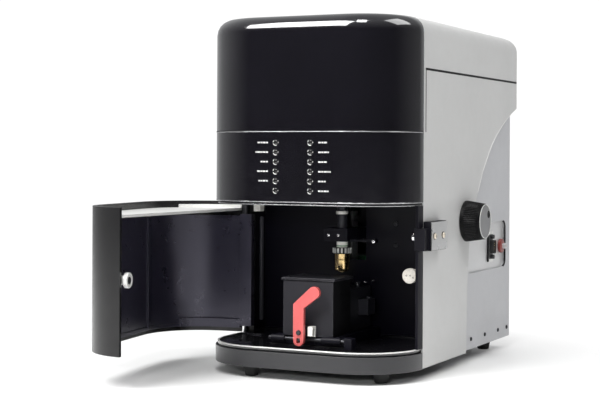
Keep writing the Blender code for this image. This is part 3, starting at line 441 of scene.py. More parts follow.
def screw_into(shape, point, aim, r, height, socket=0.48):
    """A screw head with a hexagonal socket."""
    count = 24
    move = Matrix.Translation(point) @ AIM[aim]

    def hexagon(angle, size):
        sector = 2 * math.pi / 6
        return size * math.cos(sector / 2) / math.cos((angle % sector) - sector / 2)

    levels = (
        (r, 0.0, False), (r, height * 0.62, False), (r * 0.86, height * 0.93, False),
        (r * 0.7, height, False), (r * socket, height, True), (r * socket, height * 0.35, True),
        (r * socket * 0.2, height * 0.28, True),
    )
    rings = []
    for radius, level, hexed in levels:
        ring = []
        for i in range(count):
            angle = 2 * math.pi * i / count
            size = hexagon(angle, radius) if hexed else radius
            ring.append(shape.verts.new(move @ Vector((size * math.cos(angle), size * math.sin(angle), level))))
        rings.append(ring)
    for a, b in zip(rings, rings[1:]):
        for i in range(count):
            shape.faces.new((a[i], a[(i + 1) % count], b[(i + 1) % count], b[i]))
    shape.faces.new(rings[-1])
    shape.faces.new(list(reversed(rings[0])))


def screws(name, places, r, height, material, body, socket=0.48):
    """One piece made of socket screws at each (point, direction)."""
    shape = bmesh.new()
    for point, aim in places:
        screw_into(shape, point, aim, r, height, socket)
    return place(name, built(name, shape), material, body)


# ----------------------------------------------------- beads along the front: painted highlights on the seam, the lips and the tray rim, and a dark seam line
tray_lo, tray_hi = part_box("base_tray")
UNIT_X, FRONT = (tray_lo.x + tray_hi.x) / 2, tray_lo.y
HALF, CORNER = (tray_hi.x - tray_lo.x) / 2, 71.0 * MM


def front_path(inset, back, z, count=28):
    """Points round the rounded front, from the left side to the right one."""
    radius = CORNER - inset
    points = [Vector((UNIT_X - HALF + inset, FRONT + back, z))]
    for side in (-1, 1):
        for i in range(count + 1):
            t = math.pi / 2 * i / count
            angle = math.pi + t if side < 0 else 1.5 * math.pi + t
            points.append(Vector((
                UNIT_X + side * (HALF - CORNER) + radius * math.cos(angle),
                FRONT + CORNER + radius * math.sin(angle), z)))
    points.append(Vector((UNIT_X + HALF - inset, FRONT + back, z)))
    return points


def bead(name, points, wide, high, material, body, sides=10):
    """A slim rounded strip along a level path."""
    shape = bmesh.new()
    rings = []
    for i, point in enumerate(points):
        along = (points[min(i + 1, len(points) - 1)] - points[max(i - 1, 0)]).normalized()
        side = along.cross(Vector((0, 0, 1))).normalized()
        ring = []
        for k in range(sides):
            angle = 2 * math.pi * k / sides
            ring.append(shape.verts.new(point + side * wide * math.cos(angle) + Vector((0, 0, high * math.sin(angle)))))
        rings.append(ring)
    for a, b in zip(rings, rings[1:]):
        for k in range(sides):
            shape.faces.new((a[k], a[(k + 1) % sides], b[(k + 1) % sides], b[k]))
    shape.faces.new(rings[0])
    shape.faces.new(list(reversed(rings[-1])))
    return place(name, built(name, shape), material, body, smooth=70)


panel_lo, panel_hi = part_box("indicator_panel")
ceiling_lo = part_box("compartment_ceiling")[0]
HOOD_BACK, TRAY_BACK = 0.0700, 0.0950  # how far back the beads run on each side
# the bright beads are painted highlights on the seam, the panel's lip, the ceiling's lip and the tray's rim; the dark
# one is the seam line
bead("seam_bead", front_path(0.0004, HOOD_BACK, panel_hi.z - 0.0001), 0.0006, 0.0005, "edge_light", "frame")
bead("seam_shadow_line", front_path(0.0001, HOOD_BACK, panel_hi.z + 0.0009), 0.0003, 0.0005, "gasket", "frame")
bead("panel_lip_bead", front_path(0.0007, HOOD_BACK, panel_lo.z - 0.0003), 0.0008, 0.0008, "edge_light", "frame")
bead("ceiling_lip_bead", front_path(0.0030, HOOD_BACK, ceiling_lo.z + 0.0004), 0.0009, 0.0008, "edge_light", "frame")
bead("tray_rim_bead", front_path(0.0036, TRAY_BACK, tray_hi.z - 0.0006), 0.0014, 0.0009, "bright_satin", "frame")

# ------------------------------------------------- seams on the sides, and painted highlights along the swoosh edges
cover_lo, cover_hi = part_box("side_cover_right")
seam_z = (cover_hi.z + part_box("hood_rear_cover")[0].z) / 2
seam_front = cover_lo.y + 0.0050
SEAM_IN, SEAM_OUT = 0.0006, 0.00008  # depth into the cover, and height over it
SEAM_HALF, SEAM_UPRIGHT = 0.0013, 0.0022  # half the level seam, and the whole upright one
SEAM_FOOT = 0.2600  # the upright seam starts this far above the cover's bottom
seam_runs = []
for x in (cover_hi.x, 2 * UNIT_X - cover_hi.x):
    seam_runs.append((
        (x - SEAM_IN, seam_front, seam_z - SEAM_HALF),
        (x + SEAM_OUT, cover_hi.y - 0.0005, seam_z + SEAM_HALF),
    ))
    seam_runs.append((
        (x - SEAM_IN, seam_front, cover_lo.z + SEAM_FOOT),
        (x + SEAM_OUT, seam_front + SEAM_UPRIGHT, seam_z),
    ))
blocks("cover_seam_gaskets", seam_runs, "gasket", "frame", 0.0001)


def along_swoosh(name):
    """The curved lower rear edge of a side cover above the knob, from its own outline."""
    lo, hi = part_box(name)
    outer = hi.x if hi.x > UNIT_X else lo.x
    knob_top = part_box("focus_knob")[1].z + 0.002
    points = {
        (round(v.co.y, 5), round(v.co.z, 5)) for v in NODES[name].data.vertices
        if abs(v.co.x - outer) < 0.0002
        and lo.y + 0.150 < v.co.y < hi.y - 0.0015
        and knob_top < v.co.z < hi.z - 0.020
    }
    ordered = sorted(points, key=lambda p: p[1])
    inward = -0.0004 if outer > UNIT_X else 0.0004
    return [Vector((outer + inward, y, z)) for y, z in ordered]


def rod_into(shape, points, r, across, sides=8):
    """Adds a thin round rod through points that all lie square to one direction."""
    rings = []
    for i, point in enumerate(points):
        along = (points[min(i + 1, len(points) - 1)] - points[max(i - 1, 0)]).normalized()
        first = along.cross(across).normalized()
        second = along.cross(first).normalized()
        turns = [2 * math.pi * k / sides for k in range(sides)]
        rings.append([
            shape.verts.new(point + first * r * math.cos(turn) + second * r * math.sin(turn)) for turn in turns
        ])
    for a, b in zip(rings, rings[1:]):
        for k in range(sides):
            shape.faces.new((a[k], a[(k + 1) % sides], b[(k + 1) % sides], b[k]))
    shape.faces.new(rings[0])
    shape.faces.new(list(reversed(rings[-1])))


def rod_along(name, points, r, material, body):
    """A thin round rod through points on one side of the unit."""
    shape = bmesh.new()
    rod_into(shape, points, r, Vector((1, 0, 0)))
    return place(name, built(name, shape), material, body, smooth=70)


# a bright rod along each swoosh edge: a painted highlight on the cover's edge
for cover in ("side_cover_right", "side_cover_left"):
    rod_along(cover + "_edge", along_swoosh(cover), 0.0008, "bright_satin", "frame")

# ---------------------------------------------------------------- front lamps
LAMP_COUNT = 6
LAMP_STEP = 10.5 * MM
LAMP_HIGHLIGHT_ARCS = ((128.0, 172.0), (200.0, 292.0), (352.0, 372.0))  # painted highlights: the arcs of a lamp's rim drawn as bright wire, in degrees
LAMP_ARC_R, LAMP_WIRE_R = 0.0031, 0.00042
lamp_front = panel_lo.y
lamp_points = {}
for strip in ("status_light_strip", "filter_light_strip"):
    lo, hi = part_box(strip)
    centre_x = (lo.x + hi.x) / 2
    top_z = (lo.z + hi.z) / 2 + LAMP_STEP * (LAMP_COUNT - 1) / 2
    lamp_points[strip] = [Vector((centre_x, lamp_front, top_z - LAMP_STEP * i)) for i in range(LAMP_COUNT)]
for strip, points in lamp_points.items():
    short = strip.split("_")[0]
    lathes(
        short + "_lamp_domes",
        [(0.0, 0.00035), (0.0009, 0.0003), (0.0018, 0.0001), (0.0025, -0.0002), (0.0029, -0.0006), (0.0029, -0.0010),
         (0.0, -0.0010)],
        [(p, "-Y") for p in points], "lamp_lens", "frame", 28,
    )
    lathes(
        short + "_lamp_cups",
        [(0.0034, -0.0007), (0.0034, 0.0003), (0.0033, 0.0005), (0.0031, 0.0005), (0.00298, 0.0002), (0.00298, -0.0007),
         (0.0034, -0.0007)],
        [(p, "-Y") for p in points], "gasket", "frame", 28,
    )
    # bright wire arcs on each lamp's rim: painted highlights
    shape = bmesh.new()
    for point in points:
        for start, stop in LAMP_HIGHLIGHT_ARCS:
            arc = [math.radians(start + (stop - start) * i / 8) for i in range(9)]
            rod_into(shape, [
                Vector((point.x + LAMP_ARC_R * math.cos(a), point.y - 0.0002, point.z + LAMP_ARC_R * math.sin(a)))
                for a in arc
            ], LAMP_WIRE_R, Vector((0, 1, 0)), 6)
    place(short + "_lamp_crescents", built(short + "_lamp_crescents", shape), "bright_satin", "frame", smooth=70)

# plain marks beside the lamps, in millimetres: a row of short bars for each length listed, from the
# top lamp down, so the sixth status lamp has none
MARK_START, MARK_GAP, MARK_LEAST = 9.6, 0.7, 1.0
MARK_HALF = 0.8 * MM
MARK_DASHES = (3.1, 2.2, 3.6, 1.8, 2.9, 2.4)
MARKS = (
    ("status_marks", "status_light_strip", -1.0, (13.0, 15.5, 10.0, 14.0, 11.5)),
    ("filter_marks", "filter_light_strip", 1.0, (12.0, 14.5, 11.0, 15.0, 9.0, 12.5)),
)
for mark_name, strip, side, widths in MARKS:
    corners = []
    for point, width in zip(lamp_points[strip], widths):
        run = 0.0
        k = len(widths)
        while run < width - MARK_LEAST:
            length = min(MARK_DASHES[k % len(MARK_DASHES)], width - run)
            a = point.x + side * (MARK_START * MM + run * MM)
            b = point.x + side * (MARK_START * MM + (run + length) * MM)
            corners.append((
                (min(a, b), point.y - 0.00006, point.z - MARK_HALF),
                (max(a, b), point.y + 0.00010, point.z + MARK_HALF),
            ))
            run += length + MARK_GAP
            k += 1
    blocks(mark_name, corners, "print_white", "frame", 0.00003)

# ------------------------------------------------------------- objective head
ring_lo, ring_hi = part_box("objective_ring")
axis_x, axis_y = (ring_lo.x + ring_hi.x) / 2, (ring_lo.y + ring_hi.y) / 2
ring_r = (ring_hi.x - ring_lo.x) / 2


def knurl(angle, radius, height):
    """The floor of the grip ring's slots, under its teeth. The ring is black there: painted shade in the slots."""
    return radius if radius < 0.0100 else radius - 0.0013


def on_axis(z):
    """The point on the objective's axis at a height."""
    return Vector((axis_x, axis_y, z))


# the grip ring is black under bright teeth: the black is painted shade in the slots
grip = lathes(
    "objective_grip_ring",
    [(0.0070, ring_lo.z), (ring_r - 0.0008, ring_lo.z), (ring_r, ring_lo.z + 0.0008), (ring_r, ring_lo.z + 0.0034),
     (ring_r, ring_lo.z + 0.0062), (ring_r - 0.0008, ring_lo.z + 0.0070), (0.0072, ring_lo.z + 0.0072),
     (0.0060, ring_lo.z + 0.0072), (0.0060, ring_lo.z), (0.0070, ring_lo.z)],
    [(on_axis(0.0), "+Z")], "black_plastic", "objective_head", 64, knurl, 30,
)
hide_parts("objective_ring")
TOOTH_COUNT, TOOTH_HALF = 15, 0.19
shape = bmesh.new()
for k in range(TOOTH_COUNT):
    middle_angle = 2 * math.pi * (k + 0.2) / TOOTH_COUNT
    corners = []
    for z, inset in ((0.0004, 0.0008), (0.0010, 0.0), (0.0060, 0.0), (0.0066, 0.0008)):
        for r, half in ((ring_r - 0.0018, TOOTH_HALF * 1.1), (ring_r - inset, TOOTH_HALF)):
            for turn in (-half, half):
                a = middle_angle + turn * 0.5
                corners.append(shape.verts.new((axis_x + r * math.cos(a), axis_y + r * math.sin(a), ring_lo.z + z)))
    for level in range(3):
        low, high = corners[4 * level:4 * level + 4], corners[4 * level + 4:4 * level + 8]
        for i, j in ((0, 1), (1, 3), (3, 2), (2, 0)):
            shape.faces.new((low[i], low[j], high[j], high[i]))
    shape.faces.new((corners[0], corners[2], corners[3], corners[1]))
    shape.faces.new((corners[12], corners[13], corners[15], corners[14]))
place("objective_grip_teeth", built("objective_grip_teeth", shape), "bright_satin", "objective_head")
# the two collars are white: a painted highlight for the shine of their chrome
lathes(
    "objective_collar",
    [(0.0058, ring_lo.z + 0.0070), (0.0066, ring_lo.z + 0.0072), (0.0066, ring_lo.z + 0.0082),
     (0.0061, ring_lo.z + 0.0084), (0.0061, ring_lo.z + 0.0094), (0.0066, ring_lo.z + 0.0096),
     (0.0066, ring_hi.z - 0.0003), (0.0063, ring_hi.z), (0.0050, ring_hi.z), (0.0050, ring_lo.z + 0.0070),
     (0.0058, ring_lo.z + 0.0070)],
    [(on_axis(0.0), "+Z")], "white_plastic", "objective_head", 48,
)
lathes(
    "objective_colour_band",
    [(0.0060, ring_lo.z + 0.0084), (0.0064, ring_lo.z + 0.0085), (0.0064, ring_lo.z + 0.0093),
     (0.0060, ring_lo.z + 0.0094), (0.0060, ring_lo.z + 0.0084)],
    [(on_axis(0.0), "+Z")], "green_band", "objective_head", 48,
)
COLLAR_LOW, COLLAR_HIGH = 0.1774, 0.1812
lathes(
    "tube_nickel_collar",
    [(0.0071, COLLAR_LOW), (0.00735, 0.1777), (0.00735, 0.1809), (0.0071, COLLAR_HIGH), (0.0071, COLLAR_LOW)],
    [(on_axis(0.0), "+Z")], "white_plastic", "objective_head", 48,
)
mount_lo, mount_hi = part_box("objective_mount")
screws(
    "mount_screws",
    [(Vector((mount_lo.x + 0.0062, mount_lo.y, mount_hi.z - 0.0075)), "-Y"),
     (Vector((axis_x + 0.0005, mount_lo.y, mount_hi.z - 0.0075)), "-Y")],
    0.0020, 0.0014, "chrome", "objective_head",
)
screws(
    "mount_arm_screws",
    [(Vector((mount_hi.x - 0.0030, mount_lo.y + 0.0061, mount_lo.z + 0.0030)), "-Y")],
    0.0024, 0.0012, "chrome", "objective_head",
)
barrel_lo, barrel_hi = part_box("objective_barrel")
barrel_r = (barrel_hi.x - barrel_lo.x) / 2
barrel = lathes(
    "objective_brass_barrel",
    [(0.0, 0.0), (0.0030, 0.0), (0.0034, 0.0003), (0.0035, 0.0011), (0.0062, 0.0013), (0.0078, 0.0022),
     (0.0086, 0.0036), (barrel_r - 0.0002, 0.0052), (barrel_r - 0.0002, 0.0148), (barrel_r - 0.0005, 0.0150),
     (barrel_r - 0.0005, 0.0155), (barrel_r, 0.0157), (barrel_r, barrel_hi.z - barrel_lo.z),
     (0.0, barrel_hi.z - barrel_lo.z)],
    [(on_axis(barrel_lo.z), "+Z")], "brass", "objective_head", 72,
)
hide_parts("objective_barrel")
# a dark disc on the barrel: painted shade in the port's hole
lathes(
    "barrel_port",
    [(0.0, 0.0001), (0.0009, 0.0001), (0.0010, 0.00025), (0.00125, 0.00025), (0.0013, -0.0012), (0.0, -0.0012)],
    [(Vector((axis_x + 0.0004, barrel_lo.y + 0.0001, barrel_lo.z + 0.0072)), "-Y")],
    "dark_screw", "objective_head", 20,
)

# -------------------------------------------------------------- magnet, catch
magnet_lo, magnet_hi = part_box("door_magnet")
door_turn = math.radians(82.0)  # how far the door is open at rest
magnet_axis = Vector((math.sin(door_turn), math.cos(door_turn), 0.0))
magnet_r = (magnet_hi.z - magnet_lo.z) / 2
face_mid = Vector((
    magnet_hi.x - magnet_r * magnet_axis.y, magnet_hi.y - magnet_r * magnet_axis.x, (magnet_lo.z + magnet_hi.z) / 2))
AIM["door"] = Vector((0, 0, 1)).rotation_difference(magnet_axis).to_matrix().to_4x4()
lathes(
    "magnet_core",
    [(0.0, 0.00003), (0.0030, 0.00003), (0.0035, 0.00005), (0.0037, 0.00005), (0.0038, -0.0008), (0.0, -0.0008)],
    [(face_mid, "door")], "dark_screw", "door", 32,
)
disc_lo, disc_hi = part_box("catch_disc")
disc_mid = (disc_lo + disc_hi) / 2
screws(
    "catch_screws",
    [(Vector((disc_mid.x + dx, disc_lo.y + 0.00055, disc_mid.z + dz)), "-Y")
     for dx, dz in ((-0.0036, 0.0004), (0.0008, 0.0006), (0.0044, -0.0016))],
    0.0011, 0.0006, "dark_screw", "frame",
)

# ----------------------------------------------------------------- focus knob
knob_lo, knob_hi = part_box("focus_knob")
knob_at = middle("focus_knob")
KNOB_R0 = (knob_hi.z - knob_lo.z) / 2
KNOB_R1 = KNOB_R0 - 3.1 * MM
knob_len = knob_hi.x - knob_lo.x


def knob_ribs(angle, radius, height):
    """Shallow finger ribs, fading out at both ends."""
    fade_in = min(1.0, max(0.0, (height - 0.0012) / 0.001))
    fade_out = min(1.0, max(0.0, (knob_len - 0.0022 - height) / 0.001))
    fade = fade_in * fade_out
    return radius - fade * 0.0006 * (0.5 - 0.5 * math.cos(60 * angle))


steps = 8
knob_profile = [(0.0, 0.0), (KNOB_R0 - 0.0006, 0.0), (KNOB_R0, 0.0006), (KNOB_R0, 0.0012)]
for i in range(steps + 1):
    t = i / steps
    knob_profile.append((KNOB_R0 + (KNOB_R1 - KNOB_R0) * t, 0.0014 + (knob_len - 0.0014 - 0.0022) * t))
knob_profile += [
    (KNOB_R1 - 0.0001, knob_len - 0.0016), (KNOB_R1 - 0.0007, knob_len - 0.0008),
    (KNOB_R1 - 0.0014, knob_len - 0.0006), (KNOB_R1 - 0.0014, knob_len - 0.0014), (0.0, knob_len - 0.0014),
]
knob_body = lathes(
    "knob_grip", knob_profile, [(Vector((knob_lo.x, knob_at.y, knob_at.z)), "+X")], "grey_plastic", "focus_control",
    240, knob_ribs, 40,
)
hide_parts("focus_knob")

DIMPLE_Y, DIMPLE_Z, DIMPLE_R = 11.5 * MM, 8.0 * MM, 5.2 * MM
shape = bmesh.new()
face_r = KNOB_R1 - 0.0016
rings = []
RING_COUNT, SPOKES = 26, 96
for i in range(RING_COUNT + 1):
    r = face_r * i / RING_COUNT
    ring = []
    for k in range(SPOKES if i else 1):
        angle = 2 * math.pi * k / SPOKES
        y, z = r * math.cos(angle), r * math.sin(angle)
        off = math.hypot(y - DIMPLE_Y, z - DIMPLE_Z) / DIMPLE_R
        dip = 0.0011 * (1 - off * off) if off < 1 else 0.0
        drop = 0.0005 * max(0.0, (r / face_r - 0.93) / 0.07) ** 2
        ring.append(shape.verts.new((knob_hi.x - 0.0003 - dip - drop, knob_at.y + y, knob_at.z + z)))
    rings.append(ring)
for a, b in zip(rings, rings[1:]):
    for k in range(SPOKES):
        j = (k + 1) % SPOKES
        shape.faces.new([a[0], b[k], b[j]] if len(a) == 1 else [a[k], b[k], b[j], a[j]])
back = [shape.verts.new((knob_hi.x - 0.0016, v.co.y, v.co.z)) for v in rings[-1]]
for k in range(SPOKES):
    shape.faces.new([rings[-1][k], back[k], back[(k + 1) % SPOKES], rings[-1][(k + 1) % SPOKES]])
shape.faces.new(back)
place("knob_face_plate", built("knob_face_plate", shape), "knob_face", "focus_control")
# a bright ring round the face's edge: a painted highlight
lathes(
    "knob_face_rim",
    [(face_r - 0.0001, -0.0008), (face_r + 0.0006, -0.0008), (face_r + 0.0006, 0.0), (face_r + 0.0003, 0.0002),
     (face_r - 0.0001, 0.0), (face_r - 0.0001, -0.0008)],
    [(Vector((knob_hi.x - 0.0002, knob_at.y, knob_at.z)), "+X")], "bright_satin", "focus_control", 72,
)
# a dark disc in the finger dimple: painted shade in the hollow
lathes(
    "knob_finger_dimple",
    [(0.0, -0.0002), (0.0020, 0.0), (0.0038, 0.0005), (0.0044, 0.0009), (0.0045, -0.0004), (0.0, -0.0008)],
    [(Vector((knob_hi.x - 0.0012, knob_at.y + DIMPLE_Y, knob_at.z + DIMPLE_Z)), "+X")],
    "gasket", "focus_control", 40,
)

# ------------------------------------------------------------ compartment wall
liner_lo, liner_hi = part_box("compartment_liner")
unit_x = (liner_lo.x + liner_hi.x) / 2 - 0.00125
back_y = liner_hi.y - 1.9 * MM
screws(
    "back_wall_screws",
    [(Vector((unit_x + 0.0535, back_y, 0.1659)), "-Y"), (Vector((unit_x + 0.0537, back_y, 0.1406)), "-Y")],
    0.0026, 0.0016, "dark_screw", "frame",
)
# a lighter upright strip on the left wall: a painted highlight for the sheen on the liner's corner
shape = bmesh.new()
strip_x = liner_lo.x + 2.2 * MM
block_into(shape, (strip_x, back_y - 0.0160, 0.0450), (strip_x + 0.0034, back_y - 0.0105, 0.1710), 0.0012, 3)
place("side_wall_bead", built("side_wall_bead", shape), "wall_bead", "frame")

# ------------------------------------------------------------ flow cell module
lid_lo, lid_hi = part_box("module_lid")
screws(
    "lid_screws",
    [(Vector((x, y, lid_hi.z)), "+Z") for x in (lid_lo.x + 0.006, lid_hi.x - 0.006)
     for y in (lid_lo.y + 0.008, lid_hi.y - 0.008)],
    0.0019, 0.0010, "dark_screw", "sample_module",
)
cell_lo, cell_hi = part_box("flow_cell_block")
window_lo, window_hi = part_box("flow_cell_window")
screws(
    "flow_cell_screws",
    [(Vector((cell_hi.x - 0.0050, cell_lo.y + dy, cell_hi.z)), "+Z") for dy in (0.008, 0.031, 0.054)]
    + [(Vector((cell_lo.x + 0.0050, cell_lo.y + dy, cell_hi.z)), "+Z") for dy in (0.008, 0.054)],
    0.0021, 0.0014, "steel", "sample_module",
)
window_mid = (window_lo + window_hi) / 2
lathes(
    "flow_cell_bezel",
    [(0.0120, cell_hi.z), (0.0142, cell_hi.z), (0.0142, cell_hi.z + 0.0006), (0.0138, cell_hi.z + 0.0010),
     (0.0124, cell_hi.z + 0.0010), (0.0120, cell_hi.z + 0.0006), (0.0120, cell_hi.z)],
    [(Vector((window_mid.x, window_mid.y, 0.0)), "+Z")], "anodised", "sample_module", 56,
)

# ------------------------------------------------------------- module side: a dark sheet as painted shade on the module's right side
housing_lo, housing_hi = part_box("module_housing")
blocks(
    "module_side_sheet",
    [((housing_hi.x - 0.0001, housing_lo.y + 0.0003, housing_lo.z + 0.0004),
      (housing_hi.x + 0.00025, housing_hi.y - 0.0003, housing_hi.z - 0.0002))],
    "gasket", "sample_module", 0.0001,
)

# ----------------------------------------------------------- interlock details
lathes(
    "interlock_washers",
    [(0.0033, -0.0002), (0.0040, -0.0002), (0.0040, 0.0003), (0.0033, 0.0003), (0.0033, -0.0002)],
    [(Vector((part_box("interlock_cover_plate")[1].x, middle(n).y, middle(n).z)), "+X")
     for n in ("interlock_screw_front", "interlock_screw_rear")],
    "dark_screw", "frame", 28,
)
# a dark bar across each screw head: painted shade in its slot
slots = []
for n in ("interlock_screw_front", "interlock_screw_rear"):
    c, top = middle(n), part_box(n)[1].x
    slots.append(((top - 0.0003, c.y - 0.0005, c.z - 0.0019), (top + 0.00006, c.y + 0.0005, c.z + 0.0019)))
blocks("interlock_screw_slots", slots, "dark_screw", "frame", 0.0001)

# ----------------------------------------------------------------- side sockets
pocket_lo, pocket_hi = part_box("connector_plate")
rim_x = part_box("rear_chassis")[1].x
GASKET_R = 0.0085  # radius of the gasket's path round the pocket's two rear corners
path = []
for cz, start in ((GASKET_R, -90.0), (-GASKET_R, 0.0)):
    base_z = pocket_lo.z + 0.0065 if cz > 0 else pocket_hi.z - 0.0065
    for i in range(9):
        a = math.radians(start + 90.0 * i / 8)
        path.append(Vector((
            rim_x - 0.0004,
            pocket_hi.y - 0.0055 - GASKET_R + GASKET_R * math.cos(a),
            base_z + cz + GASKET_R * math.sin(a),
        )))
rod_along("pocket_rear_gasket", path, 0.0011, "gasket", "frame")
dsub_lo, dsub_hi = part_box("dsub_socket")
dsub_at = (dsub_lo + dsub_hi) / 2
pins = []
PIN_PITCH = 0.00277
for count, dy in ((5, -0.0014), (4, 0.0014)):
    for i in range(count):
        z = dsub_at.z + (i - (count - 1) / 2) * PIN_PITCH
        pins.append((Vector((dsub_hi.x - 0.0058, dsub_at.y + dy, z)), "+X"))
lathes(
    "dsub_pins", [(0.0, 0.0), (0.0005, 0.0), (0.0005, 0.0042), (0.0003, 0.0046), (0.0, 0.0047)],
    pins, "brass", "frame", 12,
)
screws(
    "dsub_jackscrews",
    [(Vector((dsub_hi.x - 0.0058, dsub_at.y, dsub_at.z + dz)), "+X") for dz in (-0.0125, 0.0125)],
    0.0028, 0.0046, "dark_screw", "frame", 0.42,
)
coax_lo, coax_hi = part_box("coax_jack")
coax_at = (coax_lo + coax_hi) / 2
blocks(
    "dsub_flange",
    [((pocket_hi.x - 0.0001, dsub_lo.y - 0.0016, dsub_lo.z - 0.0034),
      (pocket_hi.x + 0.0005, dsub_hi.y + 0.0018, dsub_hi.z + 0.0034))],
    "bright_satin", "frame", 0.0002,
)
# a dark block beside the D-sub: painted shade on the socket's side
blocks(
    "dsub_shroud_gasket",
    [((pocket_hi.x - 0.0001, dsub_lo.y - 0.0062, dsub_lo.z - 0.0030),
      (pocket_hi.x + 0.0012, dsub_lo.y - 0.0020, dsub_hi.z + 0.0030))],
    "gasket", "frame", 0.0004,
)
lathes(
    "coax_sleeve",
    [(0.0016, 0.0), (0.0034, 0.0), (0.0034, 0.0046), (0.0031, 0.0049), (0.0022, 0.0049), (0.0020, 0.0030),
     (0.0016, 0.0030), (0.0016, 0.0)],
    [(Vector((coax_hi.x - 0.0046, coax_at.y, coax_at.z)), "+X")], "pale_metal", "frame", 32,
)
lathes(
    "coax_centre_pin",
    [(0.0, 0.0), (0.0013, 0.0), (0.0013, 0.0052), (0.0010, 0.0058), (0.0, 0.0060)],
    [(Vector((coax_hi.x - 0.0058, coax_at.y, coax_at.z)), "+X")], "chrome", "frame", 20,
)

# --------------------------------------------------------- screws on the covers
chassis_lo, chassis_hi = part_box("rear_chassis")
side_screws = []
for dy in (0.0644, 0.1144, 0.1648, 0.1989):
    for x, aim in ((chassis_hi.x, "+X"), (chassis_lo.x, "-X")):
        side_screws.append((Vector((x, chassis_lo.y + dy, chassis_lo.z + 0.0119)), aim))
screws("chassis_side_screws", side_screws, 0.0025, 0.0012, "dark_screw", "frame", 0.55)
rear_screws = [
    (Vector((x, chassis_hi.y, z)), "+Y")
    for x in (chassis_lo.x + 0.008, (chassis_lo.x + chassis_hi.x) / 2, chassis_hi.x - 0.008)
    for z in (0.024, 0.200, 0.295)
]
screws("rear_panel_screws", rear_screws, 0.0024, 0.0013, "steel", "frame", 0.55)

# ------------------------------------------------------------------- rear side
fan_lo, fan_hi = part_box("fan_frame")
fan_at = (fan_lo + fan_hi) / 2
shape = bmesh.new()
GUARD_Y, WIRE_R = chassis_hi.y + 0.0012, 0.0008
RING_STEPS, WIRE_STEPS = 72, 8
for r in (0.0085, 0.0150, 0.0215, 0.0280, 0.0340):
    wire = []
    for i in range(RING_STEPS):
        a = 2 * math.pi * i / RING_STEPS
        loop = []
        for k in range(WIRE_STEPS):
            b = 2 * math.pi * k / WIRE_STEPS
            rr = r + WIRE_R * math.cos(b)
            loop.append(shape.verts.new((
                fan_at.x + rr * math.cos(a), GUARD_Y + WIRE_R * math.sin(b), fan_at.z + rr * math.sin(a))))
        wire.append(loop)
    for here, ahead in zip(wire, wire[1:] + wire[:1]):
        for k in range(WIRE_STEPS):
            j = (k + 1) % WIRE_STEPS
            shape.faces.new((here[k], here[j], ahead[j], ahead[k]))
place("fan_guard_rings", built("fan_guard_rings", shape), "chrome", "frame", smooth=60)
shape = bmesh.new()
for quarter in range(4):
    a = math.radians(45 + 90 * quarter)
    d = Vector((math.cos(a), 0, math.sin(a)))
    side = Vector((-d.z, 0, d.x))
    rows = []
    for t in (0.0070, 0.0180, 0.0290, 0.0395):
        ring = []
        for k in range(WIRE_STEPS):
            b = 2 * math.pi * k / WIRE_STEPS
            centre = Vector((fan_at.x, GUARD_Y + 2 * WIRE_R, fan_at.z)) + d * t
            ring.append(shape.verts.new(centre + side * WIRE_R * math.cos(b) + Vector((0, WIRE_R * math.sin(b), 0))))
        rows.append(ring)
    for p, q in zip(rows, rows[1:]):
        for k in range(WIRE_STEPS):
            j = (k + 1) % WIRE_STEPS
            shape.faces.new((p[k], p[j], q[j], q[k]))
    shape.faces.new(rows[0])
    shape.faces.new(list(reversed(rows[-1])))
place("fan_guard_spokes", built("fan_guard_spokes", shape), "chrome", "frame", smooth=60)
screws(
    "fan_guard_screws",
    [(Vector((fan_at.x + dx * 0.0283, chassis_hi.y, fan_at.z + dz * 0.0283)), "+Y")
     for dx in (-1, 1) for dz in (-1, 1)],
    0.0026, 0.0022, "steel", "frame", 0.5,
)

# ---------------------------------------------------------------------- stage
FLOOR_SIZE, FLOOR_DROP = 7.0, 0.0004
bpy.ops.mesh.primitive_grid_add(
    x_subdivisions=8, y_subdivisions=8, size=FLOOR_SIZE, location=(0.0, 0.0, -FLOOR_DROP))
floor = bpy.context.object
floor.name = "studio_floor"
floor.data.materials.append(MATERIALS["floor_white"])

world = bpy.data.worlds.new("studio")
SCENE.world = world
world.use_nodes = True
tree = world.node_tree
tree.nodes.clear()
out = node(tree, "OutputWorld")
direction = node(tree, "TexCoord").outputs["Generated"]


def lobe(aim, start, stop, strength):
    """Brightness round a direction, from nothing at one cosine to full at the other."""
    dot = node(tree, "VectorMath", operation="DOT_PRODUCT")
    dot.inputs[1].default_value = aim
    tree.links.new(direction, dot.inputs[0])
    return ranged(tree, dot.outputs["Value"], 0.0, strength, start, stop)


glow = None
# direction, cosine where the glow starts, cosine where it is full, strength
for aim, start, stop, strength in (
    ((0.0, 1.0, 0.0), 0.80, 0.93, 0.55),
    ((0.0, 1.0, 0.0), -0.05, 0.60, 0.07),
    ((0.76, 0.65, 0.0), 0.60, 0.97, 0.07),
    ((-0.94, 0.34, 0.0), 0.25, 0.90, 0.34),
    ((0.0, 0.0, 1.0), 0.30, 0.90, 0.40),
):
    part = lobe(aim, start, stop, strength)
    glow = part if glow is None else maths(tree, "ADD", glow, part)
LEAST_GLOW = 0.032
glow = maths(tree, "ADD", glow, LEAST_GLOW)
backdrop = node(tree, "Background")
backdrop.inputs["Color"].default_value = (1.0, 1.0, 1.0, 1.0)
backdrop.inputs["Strength"].default_value = BACKDROP_WHITE
ambient = node(tree, "Background")
ambient.inputs["Color"].default_value = (0.98, 0.99, 1.0, 1.0)
tree.links.new(glow, ambient.inputs["Strength"])
pick = node(tree, "MixShader")
tree.links.new(node(tree, "LightPath").outputs["Is Camera Ray"], pick.inputs[0])
tree.links.new(ambient.outputs[0], pick.inputs[1])
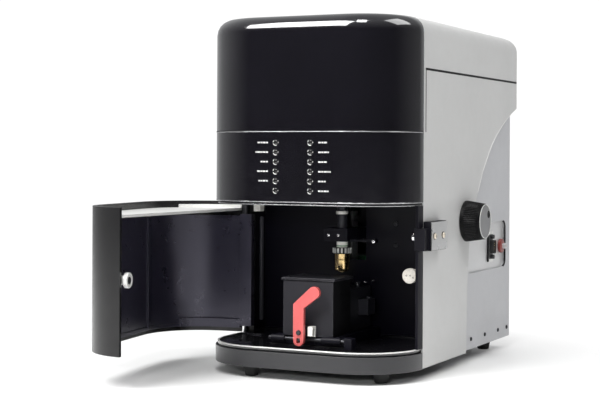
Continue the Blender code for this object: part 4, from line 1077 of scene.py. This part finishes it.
tree.links.new(backdrop.outputs[0], pick.inputs[2])
tree.links.new(pick.outputs[0], out.inputs["Surface"])


def softbox(name, place_at, aim_at, width, height, power):
    """A soft rectangular light that the camera doesn't see."""
    data = bpy.data.lights.new(name, "AREA")
    data.shape = "RECTANGLE"
    data.size, data.size_y = width, height
    data.energy = power
    lamp = bpy.data.objects.new(name, data)
    SCENE.collection.objects.link(lamp)
    lamp.location = place_at
    lamp.rotation_euler = (Vector(aim_at) - Vector(place_at)).to_track_quat("-Z", "Y").to_euler()
    lamp.visible_camera = False
    return lamp


softbox("light_key", (-0.62, -1.35, 1.75), (0.0, -0.1, 0.25), 1.15, 1.0, 56.0)
softbox("light_corner", (0.34, -0.95, 1.85), (0.08, -0.1, 0.35), 0.40, 0.5, 14.0)
softbox("light_right", (1.55, 0.45, 2.05), (0.1, 0.0, 0.2), 1.4, 1.2, 22.0)
front_light = softbox("light_front", (0.42, -1.75, 0.47), (0.03, 0.0, 0.13), 0.5, 0.16, 8.0)
front_light.visible_glossy = False  # kept out of reflections

# --------------------------------------------------------------------- camera
YAW, ROLL = math.radians(25.452), math.radians(0.29)
LENS, SENSOR = 84.19, 36.0  # millimetres
SHIFT = (-0.05, -0.0747)  # in widths of the picture
EYE = (0.72554, -1.49246, 0.24645)
look = Vector((-math.sin(YAW), math.cos(YAW), 0.0))
flat = Vector((math.cos(YAW), math.sin(YAW), 0.0))
up = Vector((0.0, 0.0, 1.0))
rolled = math.cos(ROLL) * flat + math.sin(ROLL) * up
upward = -math.sin(ROLL) * flat + math.cos(ROLL) * up
camera_data = bpy.data.cameras.new("camera")
camera_data.lens = LENS
camera_data.sensor_width = SENSOR
camera_data.shift_x, camera_data.shift_y = SHIFT
camera_object = bpy.data.objects.new("camera_view", camera_data)
SCENE.collection.objects.link(camera_object)
pose = Matrix((rolled, upward, -look)).transposed().to_4x4()
pose.translation = EYE
camera_object.matrix_world = pose
SCENE.camera = camera_object
SCENE.view_settings.view_transform = "Standard"
